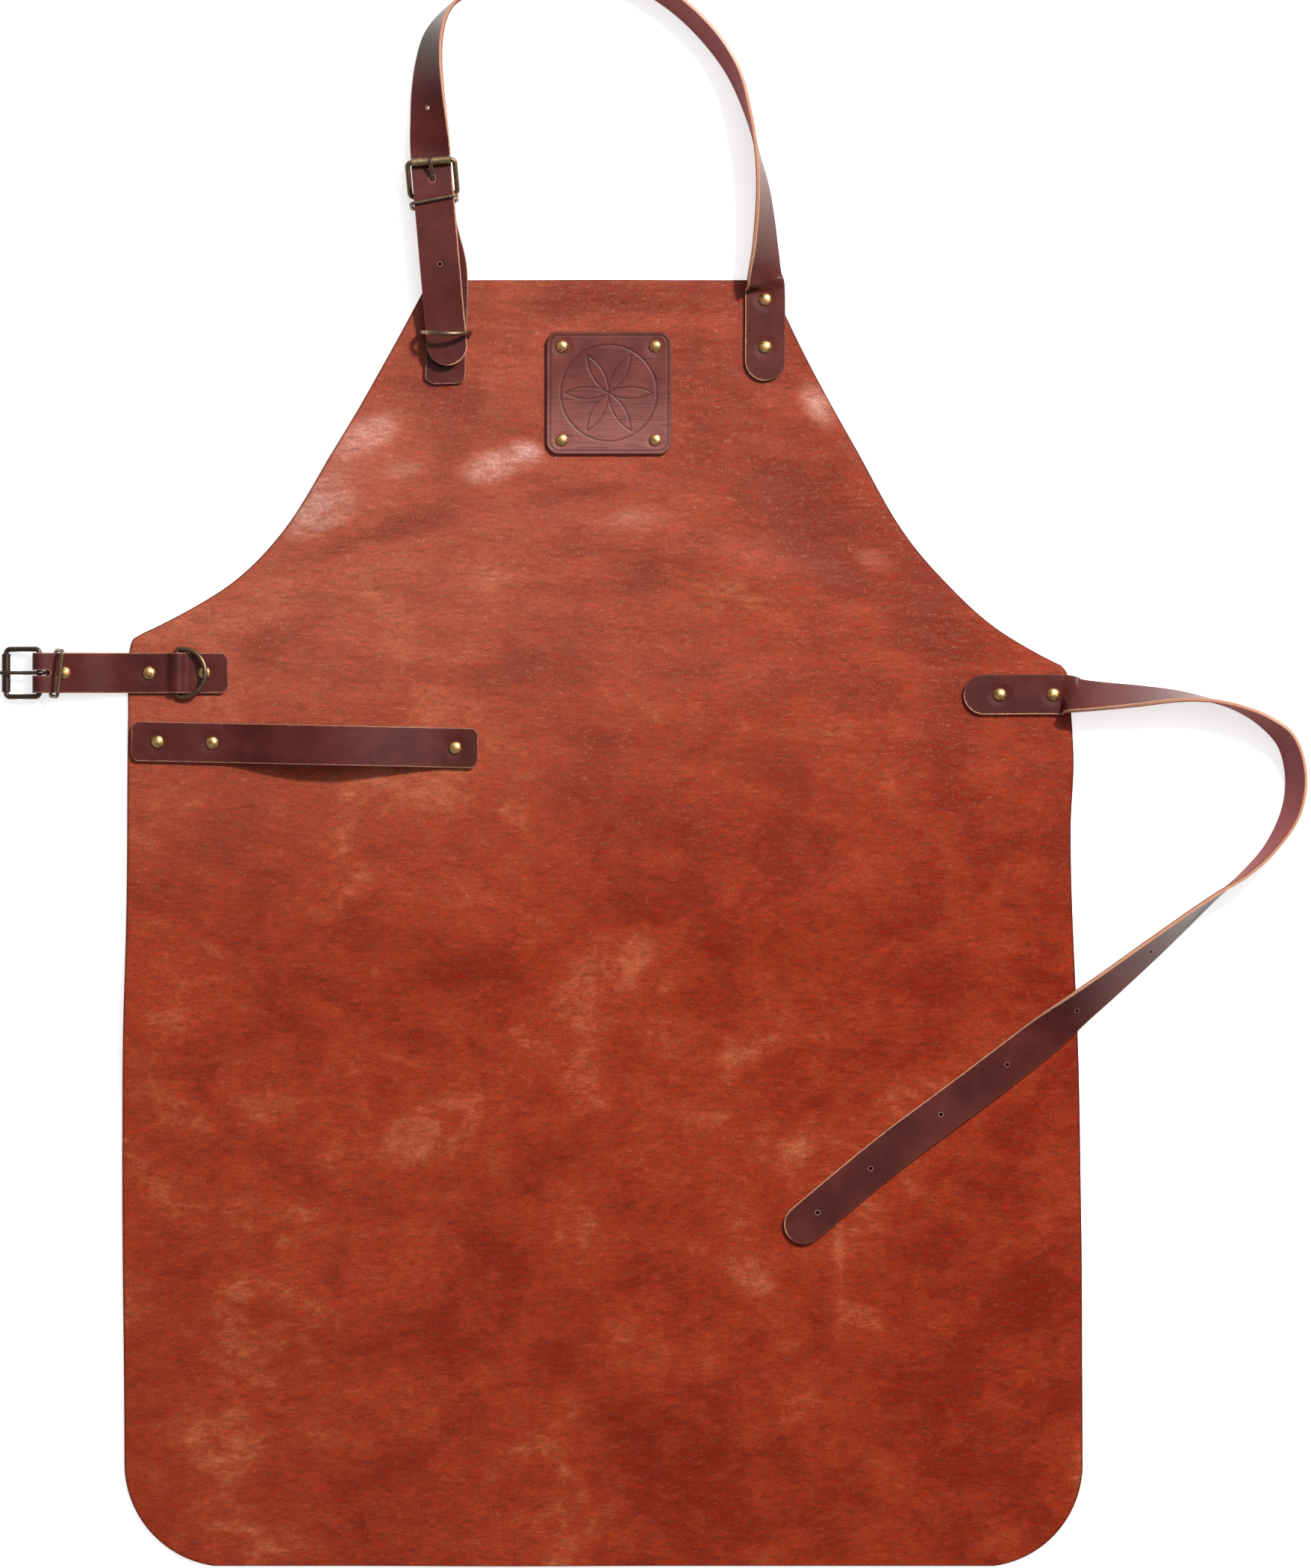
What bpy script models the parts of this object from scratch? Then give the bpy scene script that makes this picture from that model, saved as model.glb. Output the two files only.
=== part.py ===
"""A leather work apron lying flat, face up.

Bib and skirt are one thick sheet. A neck strap and a waist strap end in roller
buckles on short folded straps, a towel loop crosses the left hip, and tubular
rivets with domed caps hold every piece. +Y points from hem to bib, +Z up.
"""

import math
from collections import namedtuple

import bmesh
import bpy
import numpy as np
from mathutils import Matrix, Vector

# Sheet of the bib and skirt
BODY_WIDTH = 0.600
BODY_LENGTH = 0.805
BODY_LEATHER = 0.0020
HEM_RADIUS = 0.064
WAVE_HEIGHT = 0.0045
SHEET_ROW_STEP = 0.029
SHEET_COLUMNS = 18

# Straps
STRAP_LEATHER = 0.0025
STRAP_WIDTH = 0.0250
BUCKLE_STRAP_WIDTH = 0.0252
STRAP_HOLE_RADIUS = 0.0011
HOLE_PITCH = 0.0495
CLEARANCE = 0.0003

# Roller buckles, keepers and D rings
FRAME_WIRE = 0.0033
FRAME_LENGTH = 0.0250
FRAME_WIDTH = 0.0330
FRAME_CORNER = 0.0026
ROLLER_DIAMETER = 0.0055
PRONG_WIRE = 0.0024
PRONG_LENGTH = 0.0246
PRONG_DROOP = 0.0012
SLOT_LENGTH = 0.0070
SLOT_WIDTH = 0.0034
KEEPER_WIRE = 0.0024
KEEPER_HEIGHT = 0.0152
KEEPER_CORNER = 0.0025
RING_WIRE = 0.0030
RING_WIDTH = 0.0330
RING_SIDE = 0.0040
RING_CORNER = 0.0018
NECK_FRAME_TILT = 15.0
NECK_RING_TILT = 84.0
NECK_KEEPER_LEAN = -8.0
NECK_KEEPER_TURN = 6.0
WAIST_KEEPER_LEAN = 22.0
WAIST_KEEPER_TURN = -7.0

# Short folded straps, measured from the axis of the buckle's bar
FOLD_BACK = 0.0245
FIRST_RIVET = 0.0154
SECOND_RIVET = 0.0683
RING_BAR = 0.0858
THIRD_RIVET = 0.1028
BUCKLE_STRAP_END = 0.1178
HUMP_HALF_LENGTH = 0.0070
SHEET_LAP = 0.0190
FOLD_SETTLE = 0.78
NECK_KEEPER_FOOT = 0.0054
WAIST_KEEPER_FOOT = 0.0080
NECK_LEAN = 5.0

# Rivets
RIVET_CAP_RADIUS = 0.0042
PATCH_RIVET_CAP_RADIUS = 0.0038
RIVET_CAP_HEIGHT = 0.0020
RIVET_POST_RADIUS = 0.0015
RIVET_BACK_RADIUS = 0.0040
RIVET_BACK_THICKNESS = 0.0008

# Places on the sheet: insets from its edges, drops from its top edge
NECK_BUCKLE_INSET = 0.0155
NECK_BUCKLE_DROP = 0.0153
NECK_STRAP_INSET = 0.0041
NECK_STRAP_DROP = 0.0123
NECK_RIVET_PITCH = 0.0297
NECK_TIP = 0.0212
WAIST_BUCKLE_INSET = 0.0135
WAIST_BUCKLE_DROP = 0.2460
WAIST_STRAP_INSET = 0.0110
WAIST_STRAP_DROP = 0.2595
WAIST_RIVET_PITCH = 0.0335
WAIST_TIP = 0.0226
NECK_RISE = 0.2010
NECK_TAIL = 0.1070
NECK_FIRST_HOLE = 0.0635
WAIST_LOOP_REACH = 0.1515
WAIST_LOOP_DROP = 0.3381

# Towel loop
LOOP_LENGTH = 0.2170
LOOP_INSET = 0.0025
LOOP_DROP = 0.2886
LOOP_SLOPE = -1.2
LOOP_RISE = 0.0120
LOOP_FIRST_RIVET = 0.0164
LOOP_SECOND_RIVET = 0.0506
LOOP_LAST_RIVET = 0.0143

# Patch
PATCH_WIDTH = 0.0780
PATCH_HEIGHT = 0.0765
PATCH_LEATHER = 0.0025
PATCH_CORNER = 0.0080
PATCH_SHIFT = 0.0037
PATCH_DROP = 0.0709
PATCH_RIVET_INSET_X = 0.0098
PATCH_RIVET_INSET_Y = 0.0090

# Edges of the sheet: drop as a share of its length, reach of half its width
EdgeRow = namedtuple("EdgeRow", "drop reach")
BIB_LEFT = (
    EdgeRow(0.000, 0.362),
    EdgeRow(0.060, 0.449),
    EdgeRow(0.130, 0.557),
    EdgeRow(0.200, 0.677),
    EdgeRow(0.235, 0.771),
    EdgeRow(0.253, 0.845),
    EdgeRow(0.270, 0.931),
    EdgeRow(0.2755, 0.963),
    EdgeRow(0.2775, 0.975),
    EdgeRow(0.280, 0.9825),
)
BIB_RIGHT = (
    EdgeRow(0.000, 0.347),
    EdgeRow(0.060, 0.424),
    EdgeRow(0.130, 0.526),
    EdgeRow(0.200, 0.635),
    EdgeRow(0.235, 0.715),
    EdgeRow(0.270, 0.817),
    EdgeRow(0.287, 0.889),
    EdgeRow(0.298, 0.945),
    EdgeRow(0.3003, 0.958),
    EdgeRow(0.303, 0.966),
)
SIDE_LEFT = (
    EdgeRow(0.280, 0.9825),
    EdgeRow(0.286, 0.987),
    EdgeRow(0.340, 0.991),
    EdgeRow(0.479, 0.994),
    EdgeRow(0.618, 1.002),
    EdgeRow(0.711, 1.003),
    EdgeRow(0.880, 0.999),
    EdgeRow(1.000, 0.998),
)
SIDE_RIGHT = (
    EdgeRow(0.303, 0.966),
    EdgeRow(0.309, 0.972),
    EdgeRow(0.339, 0.978),
    EdgeRow(0.374, 0.983),
    EdgeRow(0.426, 0.977),
    EdgeRow(0.618, 0.994),
    EdgeRow(0.800, 1.000),
    EdgeRow(1.000, 1.003),
)

# Soft waves of the sheet: centre and half spans as shares of half width and length,
# crest as a share of WAVE_HEIGHT
Wave = namedtuple("Wave", "across drop half_across half_drop turn crest")
WAVES = (
    Wave(0.02, 0.000, 0.17, 0.036, 0.0, 0.55),
    Wave(-0.56, 0.150, 0.16, 0.070, 0.0, 1.00),
    Wave(0.52, 0.150, 0.15, 0.070, 0.0, 0.80),
    Wave(-0.22, 0.205, 0.33, 0.040, 8.0, 0.75),
    Wave(0.30, 0.230, 0.26, 0.040, -14.0, 0.65),
    Wave(0.20, 0.330, 0.40, 0.045, 5.0, 0.60),
    Wave(-0.36, 0.500, 0.33, 0.060, -6.0, 0.80),
    Wave(0.40, 0.490, 0.34, 0.055, 10.0, 0.75),
    Wave(-0.98, 0.580, 0.20, 0.080, 0.0, 0.90),
    Wave(-0.10, 0.660, 0.35, 0.050, 12.0, 0.55),
    Wave(-0.60, 0.800, 0.35, 0.060, 0.0, 0.85),
    Wave(0.25, 0.880, 0.40, 0.050, -8.0, 0.70),
    Wave(0.98, 0.770, 0.18, 0.080, 0.0, 0.95),
    Wave(-0.20, 1.000, 0.35, 0.040, 0.0, 0.60),
)

# Stations of the free straps. span and rise run from one foot to the other and
# up to the crown; tilt turns the strap from lying (0) to on edge (90) and past;
# lift raises its lower edge, as a share of the seat on the sheet.
NeckRow = namedtuple("NeckRow", "side span rise tilt lift")
NECK_LOOP = (
    NeckRow("right", 0.998, 0.060, 32.0, 1.0),
    NeckRow("right", 1.000, 0.130, 50.0, 0.5),
    NeckRow("right", 0.999, 0.217, 62.0, 0.0),
    NeckRow("right", 0.993, 0.322, 74.0, 0.0),
    NeckRow("right", 0.976, 0.427, 86.0, 0.0),
    NeckRow("right", 0.952, 0.533, 93.0, 0.0),
    NeckRow("right", 0.905, 0.665, 104.0, 0.0),
    NeckRow("right", 0.832, 0.770, 108.0, 0.0),
    NeckRow("right", 0.716, 0.875, 107.0, 0.0),
    NeckRow("right", 0.558, 0.960, 105.0, 0.0),
    NeckRow("right", 0.387, 1.000, 102.0, 0.0),
    NeckRow("left", 0.226, 0.938, 97.0, 0.0),
    NeckRow("left", 0.119, 0.842, 91.0, 0.0),
    NeckRow("left", 0.045, 0.730, 79.0, 0.0),
    NeckRow("left", 0.008, 0.611, 62.0, 0.0),
    NeckRow("left", -0.006, 0.480, 50.0, 0.0),
    NeckRow("left", -0.009, 0.349, 38.0, 0.4),
    NeckRow("left", -0.006, 0.200, 24.0, 1.2),
)
WaistRow = namedtuple("WaistRow", "reach drop tilt lift")
WAIST_LOOP = (
    WaistRow(0.094, 0.002, 36.0, 1.1),
    WaistRow(0.204, 0.003, 50.0, 0.5),
    WaistRow(0.313, 0.003, 59.0, 0.0),
    WaistRow(0.533, 0.004, 79.0, 0.0),
    WaistRow(0.644, 0.011, 88.0, 0.0),
    WaistRow(0.754, 0.024, 93.0, 0.0),
    WaistRow(0.865, 0.048, 102.0, 0.0),
    WaistRow(0.957, 0.085, 111.0, 0.0),
    WaistRow(0.998, 0.151, 113.0, 0.0),
    WaistRow(0.978, 0.217, 110.0, 0.0),
    WaistRow(0.894, 0.283, 100.0, 0.0),
    WaistRow(0.788, 0.332, 93.0, 0.0),
    WaistRow(0.665, 0.373, 82.5, 0.0),
    WaistRow(0.423, 0.463, 62.0, 0.0),
    WaistRow(0.204, 0.543, 46.0, 0.6),
    WaistRow(0.093, 0.582, 36.0, 1.1),
    WaistRow(-0.079, 0.645, 10.0, 1.0),
    WaistRow(-0.285, 0.717, 2.0, 1.0),
    WaistRow(-0.691, 0.854, 0.0, 1.0),
    WaistRow(-1.093, 1.004, 0.0, 1.0),
)
# Punched holes of the waist strap, from its tip in pitches
WAIST_HOLES = (0.48, 1.35, 2.47, 3.52, 4.64, 5.83)
# Side sway of the neck's folded strap: run as a share of its length, sway of its width
SwayRow = namedtuple("SwayRow", "run sway")
NECK_SWAY = (
    SwayRow(0.00, 0.00),
    SwayRow(0.12, 0.00),
    SwayRow(0.40, 0.16),
    SwayRow(0.73, 0.008),
    SwayRow(1.00, -0.14),
)
NO_SWAY = (SwayRow(0.0, 0.0), SwayRow(1.0, 0.0))
# Outlines of strap ends: run as a share of half the width, half width as its share
TipRow = namedtuple("TipRow", "run half")
ROUND_TIP = tuple(
    TipRow(1 - math.cos(math.radians(a)), math.sin(math.radians(a)))
    for a in (15, 33, 51, 70, 90)
)
CUT_TIP = (TipRow(0.0, 0.52), TipRow(0.10, 0.80), TipRow(0.34, 1.0))

# Sizes that follow from the ones above
SEAT = BODY_LEATHER + CLEARANCE
STRAP_TOP = SEAT + STRAP_LEATHER
FOLD_FOOT = KEEPER_WIRE + CLEARANCE
BAR_HEIGHT = FOLD_FOOT + STRAP_LEATHER + CLEARANCE + FRAME_WIRE / 2
FOLD_RADIUS = FRAME_WIRE / 2 + CLEARANCE + STRAP_LEATHER / 2
FOLD_TOP = FOLD_FOOT + 2 * STRAP_LEATHER + CLEARANCE
BAR_SPACING = FRAME_LENGTH - FRAME_WIRE
ROLLER_RADIUS = ROLLER_DIAMETER / 2
WAIST_FRAME_TILT = -math.degrees(math.asin((BAR_HEIGHT - ROLLER_RADIUS) / BAR_SPACING))
PRONG_RISE = math.degrees(
    math.asin((ROLLER_RADIUS + CLEARANCE + PRONG_WIRE / 2) / BAR_SPACING)
)
RING_HEIGHT = SEAT + RING_WIRE / 2
RING_HALF = (RING_WIDTH - RING_WIRE) / 2
RING_CROSSING = RING_SIDE + math.sqrt(
    RING_HALF**2 - (BUCKLE_STRAP_WIDTH / 2 + RING_WIRE / 2) ** 2
)
RING_LIE = math.degrees(
    math.asin((STRAP_TOP + CLEARANCE + RING_WIRE / 2 - RING_HEIGHT) / RING_CROSSING)
)

# A strap's station: centre line in plan, height of its lowest edge, tilt in degrees
Station = namedtuple("Station", "x y foot tilt")


def eased(xs, ys, at, steady=False):
    """Smooth curve through the rows (xs, ys), read at the places given.

    A steady curve never swings past a row, so level stretches stay level.
    """
    xs, ys = np.asarray(xs, float), np.asarray(ys, float)
    rises = np.diff(ys) / np.diff(xs)
    slopes = np.concatenate([rises[:1], (rises[:-1] + rises[1:]) / 2, rises[-1:]])
    if steady:
        before, after = rises[:-1], rises[1:]
        same_way = before * after > 0
        total = np.where(same_way, before + after, 1.0)
        slopes[1:-1] = np.where(same_way, 2 * before * after / total, 0.0)
    at = np.clip(at, xs[0], xs[-1])
    row = np.clip(np.searchsorted(xs, at, side="right") - 1, 0, len(xs) - 2)
    step = xs[row + 1] - xs[row]
    t = (at - xs[row]) / step
    keep = (1 + 2 * t) * (1 - t) ** 2
    leave = t * (1 - t) ** 2 * step
    arrive = t**2 * (t - 1) * step
    return (
        keep * ys[row] + (1 - keep) * ys[row + 1] + leave * slopes[row] + arrive * slopes[row + 1]
    )


def blend(low, high, share):
    """Moves from low to high in a soft S as share goes from 0 to 1."""
    share = min(max(share, 0.0), 1.0)
    return low + (high - low) * (0.5 - 0.5 * math.cos(math.pi * share))


def leather(name, colour, roughness=0.5):
    made = bpy.data.materials.new(name)
    made.use_nodes = True
    shader = made.node_tree.nodes["Principled BSDF"]
    shader.inputs["Base Color"].default_value = (*colour, 1.0)
    shader.inputs["Roughness"].default_value = roughness
    return made


def metal(name, colour, roughness=0.35):
    made = leather(name, colour, roughness)
    made.node_tree.nodes["Principled BSDF"].inputs["Metallic"].default_value = 1.0
    return made


def add_object(name, data, material, parent=None):
    """Links an object into the scene, under its parent where it has one."""
    made = bpy.data.objects.new(name, data)
    data.materials.append(material)
    bpy.context.scene.collection.objects.link(made)
    made.parent = parent
    return made


def add_mesh(name, bm, material, parent=None, smooth=False):
    bmesh.ops.recalc_face_normals(bm, faces=bm.faces)
    data = bpy.data.meshes.new(name)
    bm.to_mesh(data)
    bm.free()
    if smooth:
        data.shade_smooth()
        data.set_sharp_from_angle(angle=math.radians(50))
    return add_object(name, data, material, parent)


def add_empty(name, place, turn=(0.0, 0.0, 0.0), parent=None):
    made = bpy.data.objects.new(name, None)
    bpy.context.scene.collection.objects.link(made)
    made.location = place
    made.rotation_euler = turn
    made.parent = parent
    return made


def cut(target, cutter):
    modifier = target.modifiers.new("cut_" + cutter.name, "BOOLEAN")
    modifier.operation = "DIFFERENCE"
    modifier.solver = "EXACT"
    modifier.object = cutter


def as_cutter(made):
    made.hide_render = True
    made.display_type = "WIRE"
    return made


def turned_into(bm, profile, sides, place=(0.0, 0.0, 0.0)):
    """Adds a body of revolution about Z: profile runs from the axis, or round a wall."""
    centre = Vector(place)
    rings = []
    for radius, height in profile:
        around = [math.tau * k / sides for k in range(sides if radius else 1)]
        ring = [Vector((radius * math.cos(a), radius * math.sin(a), height)) for a in around]
        rings.append([bm.verts.new(centre + spot) for spot in ring])
    if len(rings[0]) > 1:
        rings.append(rings[0])
    for low, high in zip(rings, rings[1:]):
        for k in range(sides):
            after = (k + 1) % sides
            corners = [low[k % len(low)], low[after % len(low)]]
            corners += [high[after % len(high)], high[k % len(high)]]
            bm.faces.new(list(dict.fromkeys(corners)))


def ribbon_into(bm, centres, across, normals, halves, thickness):
    """Skins a strap: one four-cornered section for each centre."""
    rings = []
    for centre, side, normal, half in zip(centres, across, normals, halves):
        flat, deep = side * half, normal * (thickness / 2)
        rings.append(
            [
                bm.verts.new(centre + flat + deep),
                bm.verts.new(centre - flat + deep),
                bm.verts.new(centre - flat - deep),
                bm.verts.new(centre + flat - deep),
            ]
        )
    for first, second in zip(rings, rings[1:]):
        for k in range(4):
            after = (k + 1) % 4
            bm.faces.new((first[k], first[after], second[after], second[k]))
    bm.faces.new(rings[0])
    bm.faces.new(rings[-1])
    bmesh.ops.triangulate(bm, faces=bm.faces)


def half_width_at(run, length, width, start_tip, end_tip):
    """Half the strap's width at this run from its start, narrowed at both tips."""
    half = width / 2
    from_start = np.interp(run / half, [r.run for r in start_tip], [r.half for r in start_tip])
    from_end = np.interp((length - run) / half, [r.run for r in end_tip], [r.half for r in end_tip])
    return half * min(from_start, from_end)


def tip_runs(length, width, start_tip, end_tip):
    """The runs at which the tips' outlines have their corners."""
    half = width / 2
    return [row.run * half for row in start_tip] + [length - row.run * half for row in end_tip]


# Sheet of the bib and skirt


def side_reach(drop, bib, side):
    """How far the sheet reaches at this drop, in metres from its centre line."""
    rows = bib if drop <= bib[-1].drop else side
    reach = float(eased([r.drop for r in rows], [r.reach for r in rows], drop))
    above_hem = (1.0 - drop) * BODY_LENGTH
    inset = 0.0
    if above_hem < HEM_RADIUS:
        inset = HEM_RADIUS - math.sqrt(HEM_RADIUS**2 - (HEM_RADIUS - above_hem) ** 2)
    return reach * BODY_WIDTH / 2 - inset


def left_edge(y):
    return -side_reach(drop_at(y), BIB_LEFT, SIDE_LEFT)


def right_edge(y):
    return side_reach(drop_at(y), BIB_RIGHT, SIDE_RIGHT)


def drop_at(y):
    return min(max((BODY_LENGTH / 2 - y) / BODY_LENGTH, 0.0), 1.0)


def wave_height(x, y):
    """Height of the sheet's underside above the ground."""
    height = 0.0
    for wave in WAVES:
        dx = x - wave.across * BODY_WIDTH / 2
        dy = y - (0.5 - wave.drop) * BODY_LENGTH
        turn = math.radians(wave.turn)
        along = (dx * math.cos(turn) + dy * math.sin(turn)) / (wave.half_across * BODY_WIDTH / 2)
        over = (dy * math.cos(turn) - dx * math.sin(turn)) / (wave.half_drop * BODY_LENGTH)
        distance = min(math.hypot(along, over), 1.0)
        height += wave.crest * WAVE_HEIGHT * math.cos(math.pi / 2 * distance) ** 2
    return height


def sheet_drops():
    """Rows of the sheet: its edges' corners, even steps, and the hem's round corners."""
    fixed = [row.drop for row in BIB_LEFT + BIB_RIGHT]
    hem_start = 1.0 - HEM_RADIUS / BODY_LENGTH
    steps = math.ceil(hem_start * BODY_LENGTH / SHEET_ROW_STEP)
    even = [hem_start * k / steps for k in range(steps + 1)]
    near = 0.35 * SHEET_ROW_STEP / BODY_LENGTH
    even = [drop for drop in even if min(abs(drop - other) for other in fixed) > near]
    corner = []
    for angle in range(18, 91, 18):
        above_hem = (1.0 - math.sin(math.radians(angle))) * HEM_RADIUS
        corner.append(1.0 - above_hem / BODY_LENGTH)
    return sorted(set(fixed + even + corner))


def apron_body(material, rivet_cutter):
    bm = bmesh.new()
    top, bottom = [], []
    for drop in sheet_drops():
        y = (0.5 - drop) * BODY_LENGTH
        left = -side_reach(drop, BIB_LEFT, SIDE_LEFT)
        right = side_reach(drop, BIB_RIGHT, SIDE_RIGHT)
        xs = [left + (right - left) * k / SHEET_COLUMNS for k in range(SHEET_COLUMNS + 1)]
        heights = [wave_height(x, y) for x in xs]
        top.append([bm.verts.new((x, y, h + BODY_LEATHER)) for x, h in zip(xs, heights)])
        bottom.append([bm.verts.new((x, y, h)) for x, h in zip(xs, heights)])
    for layer in (top, bottom):
        for first, second in zip(layer, layer[1:]):
            for k in range(SHEET_COLUMNS):
                bm.faces.new((first[k], first[k + 1], second[k + 1], second[k]))
    rims = [
        ([row[0] for row in top], [row[0] for row in bottom]),
        ([row[-1] for row in top], [row[-1] for row in bottom]),
        (top[0], bottom[0]),
        (top[-1], bottom[-1]),
    ]
    for upper, lower in rims:
        for k in range(len(upper) - 1):
            bm.faces.new((upper[k], upper[k + 1], lower[k + 1], lower[k]))
    bmesh.ops.triangulate(bm, faces=bm.faces)
    made = add_mesh("apron_body", bm, material)
    cut(made, rivet_cutter)
    return made


# Rivets

RivetPlace = namedtuple("RivetPlace", "name x y foot stack_top cap_radius")


def add_rivet(place, material):
    """A tubular rivet: back cap let into the leather, post, and domed front cap."""
    back = place.foot + RIVET_BACK_THICKNESS
    seat = place.stack_top + CLEARANCE
    profile = [
        (0.0, place.foot),
        (RIVET_BACK_RADIUS, place.foot),
        (RIVET_BACK_RADIUS, back),
        (RIVET_POST_RADIUS, back),
        (RIVET_POST_RADIUS, seat),
        (place.cap_radius, seat),
        (0.78 * place.cap_radius, seat + 0.62 * RIVET_CAP_HEIGHT),
        (0.0, seat + RIVET_CAP_HEIGHT),
    ]
    bm = bmesh.new()
    turned_into(bm, profile, 12)
    made = add_mesh(place.name, bm, material, smooth=True)
    made.location = (place.x, place.y, 0.0)


def add_rivet_cutter(places, material):
    """Every rivet's hole and back recess, as one cutter."""
    flat_share = math.cos(math.pi / 8)
    hole = (RIVET_POST_RADIUS + CLEARANCE) / flat_share
    recess = (RIVET_BACK_RADIUS + CLEARANCE) / flat_share
    bm = bmesh.new()
    for place in places:
        step = place.foot + RIVET_BACK_THICKNESS + CLEARANCE
        below = place.foot - 1.5 * RIVET_BACK_THICKNESS
        above = place.stack_top + 1.2 * RIVET_BACK_THICKNESS
        profile = [(0.0, below), (recess, below), (recess, step)]
        profile += [(hole, step), (hole, above), (0.0, above)]
        turned_into(bm, profile, 8, (place.x, place.y, 0.0))
    return as_cutter(add_mesh("rivet_cutter", bm, material))


# Free straps


def smooth_path(stations, step=0.001):
    """Stations every millimetre on a smooth curve through the given ones."""
    table = np.array(stations, float)
    chords = np.linalg.norm(np.diff(table[:, :2], axis=0), axis=1)
    along = np.concatenate([[0.0], np.cumsum(chords)])
    at = np.linspace(0.0, along[-1], max(2, round(along[-1] / step)))
    return np.stack([eased(along, table[:, k], at, steady=k > 1) for k in range(4)], axis=1)


class StrapPath:
    """A strap's centre line with the direction across it and off its grain side."""

    def __init__(self, stations, inner):
        dense = smooth_path(stations)
        tilt = np.radians(dense[:, 3])
        lean = np.abs(np.cos(tilt)) * STRAP_LEATHER / 2 + np.sin(tilt) * STRAP_WIDTH / 2
        self.points = np.column_stack([dense[:, :2], dense[:, 2] + lean])
        steps = np.linalg.norm(np.diff(self.points, axis=0), axis=1)
        self.runs = np.concatenate([[0.0], np.cumsum(steps)])
        self.length = float(self.runs[-1])
        tangent = np.gradient(self.points, self.runs, axis=0)
        tangent /= np.linalg.norm(tangent, axis=1)[:, None]
        across = np.cross([0.0, 0.0, 1.0], tangent) * inner
        across /= np.linalg.norm(across, axis=1)[:, None]
        off = np.cross(tangent, across) * inner
        tilt = tilt[:, None]
        self.across = across * np.cos(tilt) + off * np.sin(tilt)
        self.normal = off * np.cos(tilt) - across * np.sin(tilt)
        self.tangent = tangent

    def at(self, run):
        """Centre, across and normal vectors at this run from the start."""
        read = [
            [np.interp(run, self.runs, column[:, k]) for k in range(3)]
            for column in (self.points, self.across, self.normal)
        ]
        return [Vector(values) for values in read]

    def section_runs(self, extra, turn=7.0, longest=0.030):
        """Runs for sections: closer where the strap bends or twists."""
        chosen, last = [0.0], 0
        for k in range(1, len(self.runs) - 1):
            bent = self.tangent[last].dot(self.tangent[k])
            twisted = self.normal[last].dot(self.normal[k])
            turned = math.degrees(math.acos(min(1.0, max(-1.0, min(bent, twisted)))))
            if turned > turn or self.runs[k] - self.runs[last] > longest:
                chosen.append(float(self.runs[k]))
                last = k
        chosen.append(self.length)
        near = 0.0012
        chosen = [run for run in chosen if all(abs(run - other) > near for other in extra)]
        return sorted(set(chosen + list(extra)))


def add_strap(name, path, width, start_tip, end_tip, material, parent=None):
    tips = tip_runs(path.length, width, start_tip, end_tip)
    runs = path.section_runs(tips)
    sections = [path.at(run) for run in runs]
    halves = [half_width_at(run, path.length, width, start_tip, end_tip) for run in runs]
    bm = bmesh.new()
    ribbon_into(bm, *zip(*sections), halves, STRAP_LEATHER)
    return add_mesh(name, bm, material, parent)


def add_hole_cutter(name, path, runs, material):
    """Punched holes through a strap, square to its face."""
    bm = bmesh.new()
    for run in runs:
        centre, across, normal = path.at(run)
        along = across.cross(normal)
        punch = bmesh.ops.create_cone(
            bm,
            cap_ends=True,
            segments=8,
            radius1=STRAP_HOLE_RADIUS,
            radius2=STRAP_HOLE_RADIUS,
            depth=3 * STRAP_LEATHER,
        )
        turn = Matrix((across, along, normal)).transposed().to_4x4()
        bmesh.ops.transform(bm, matrix=Matrix.Translation(centre) @ turn, verts=punch["verts"])
    return as_cutter(add_mesh(name, bm, material))


# Buckle sets. Each is made about the axis of the buckle's bar: +X runs along the
# strap to the sheet, +Y along the bar.


def wire_loop(name, points, wire, material, parent, closed=True):
    """Round wire bent along points."""
    data = bpy.data.curves.new(name, "CURVE")
    data.dimensions = "3D"
    data.bevel_depth = wire / 2
    data.bevel_resolution = 2
    data.use_fill_caps = not closed
    spline = data.splines.new("POLY")
    spline.points.add(len(points) - 1)
    for point, place in zip(spline.points, points):
        point.co = (*place, 1.0)
    spline.use_cyclic_u = closed
    spline.use_smooth = True
    return add_object(name, data, material, parent)


def rounded_corner(centre, radius, start, steps=3):
    """Points of a quarter turn about centre, in the plane of its first two values."""
    turns = (math.radians(start + 90.0 * k / steps) for k in range(steps + 1))
    return [(centre[0] + radius * math.cos(a), centre[1] + radius * math.sin(a)) for a in turns]


def rounded_box(low_x, high_x, half_y, radius):
    """Outline of a rectangle with round corners, as points (x, y)."""
    right, left, top = high_x - radius, low_x + radius, half_y - radius
    points = []
    for x, y, start in ((right, top, 0), (left, top, 90), (left, -top, 180), (right, -top, 270)):
        points += rounded_corner((x, y), radius, start)
    return points


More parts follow.
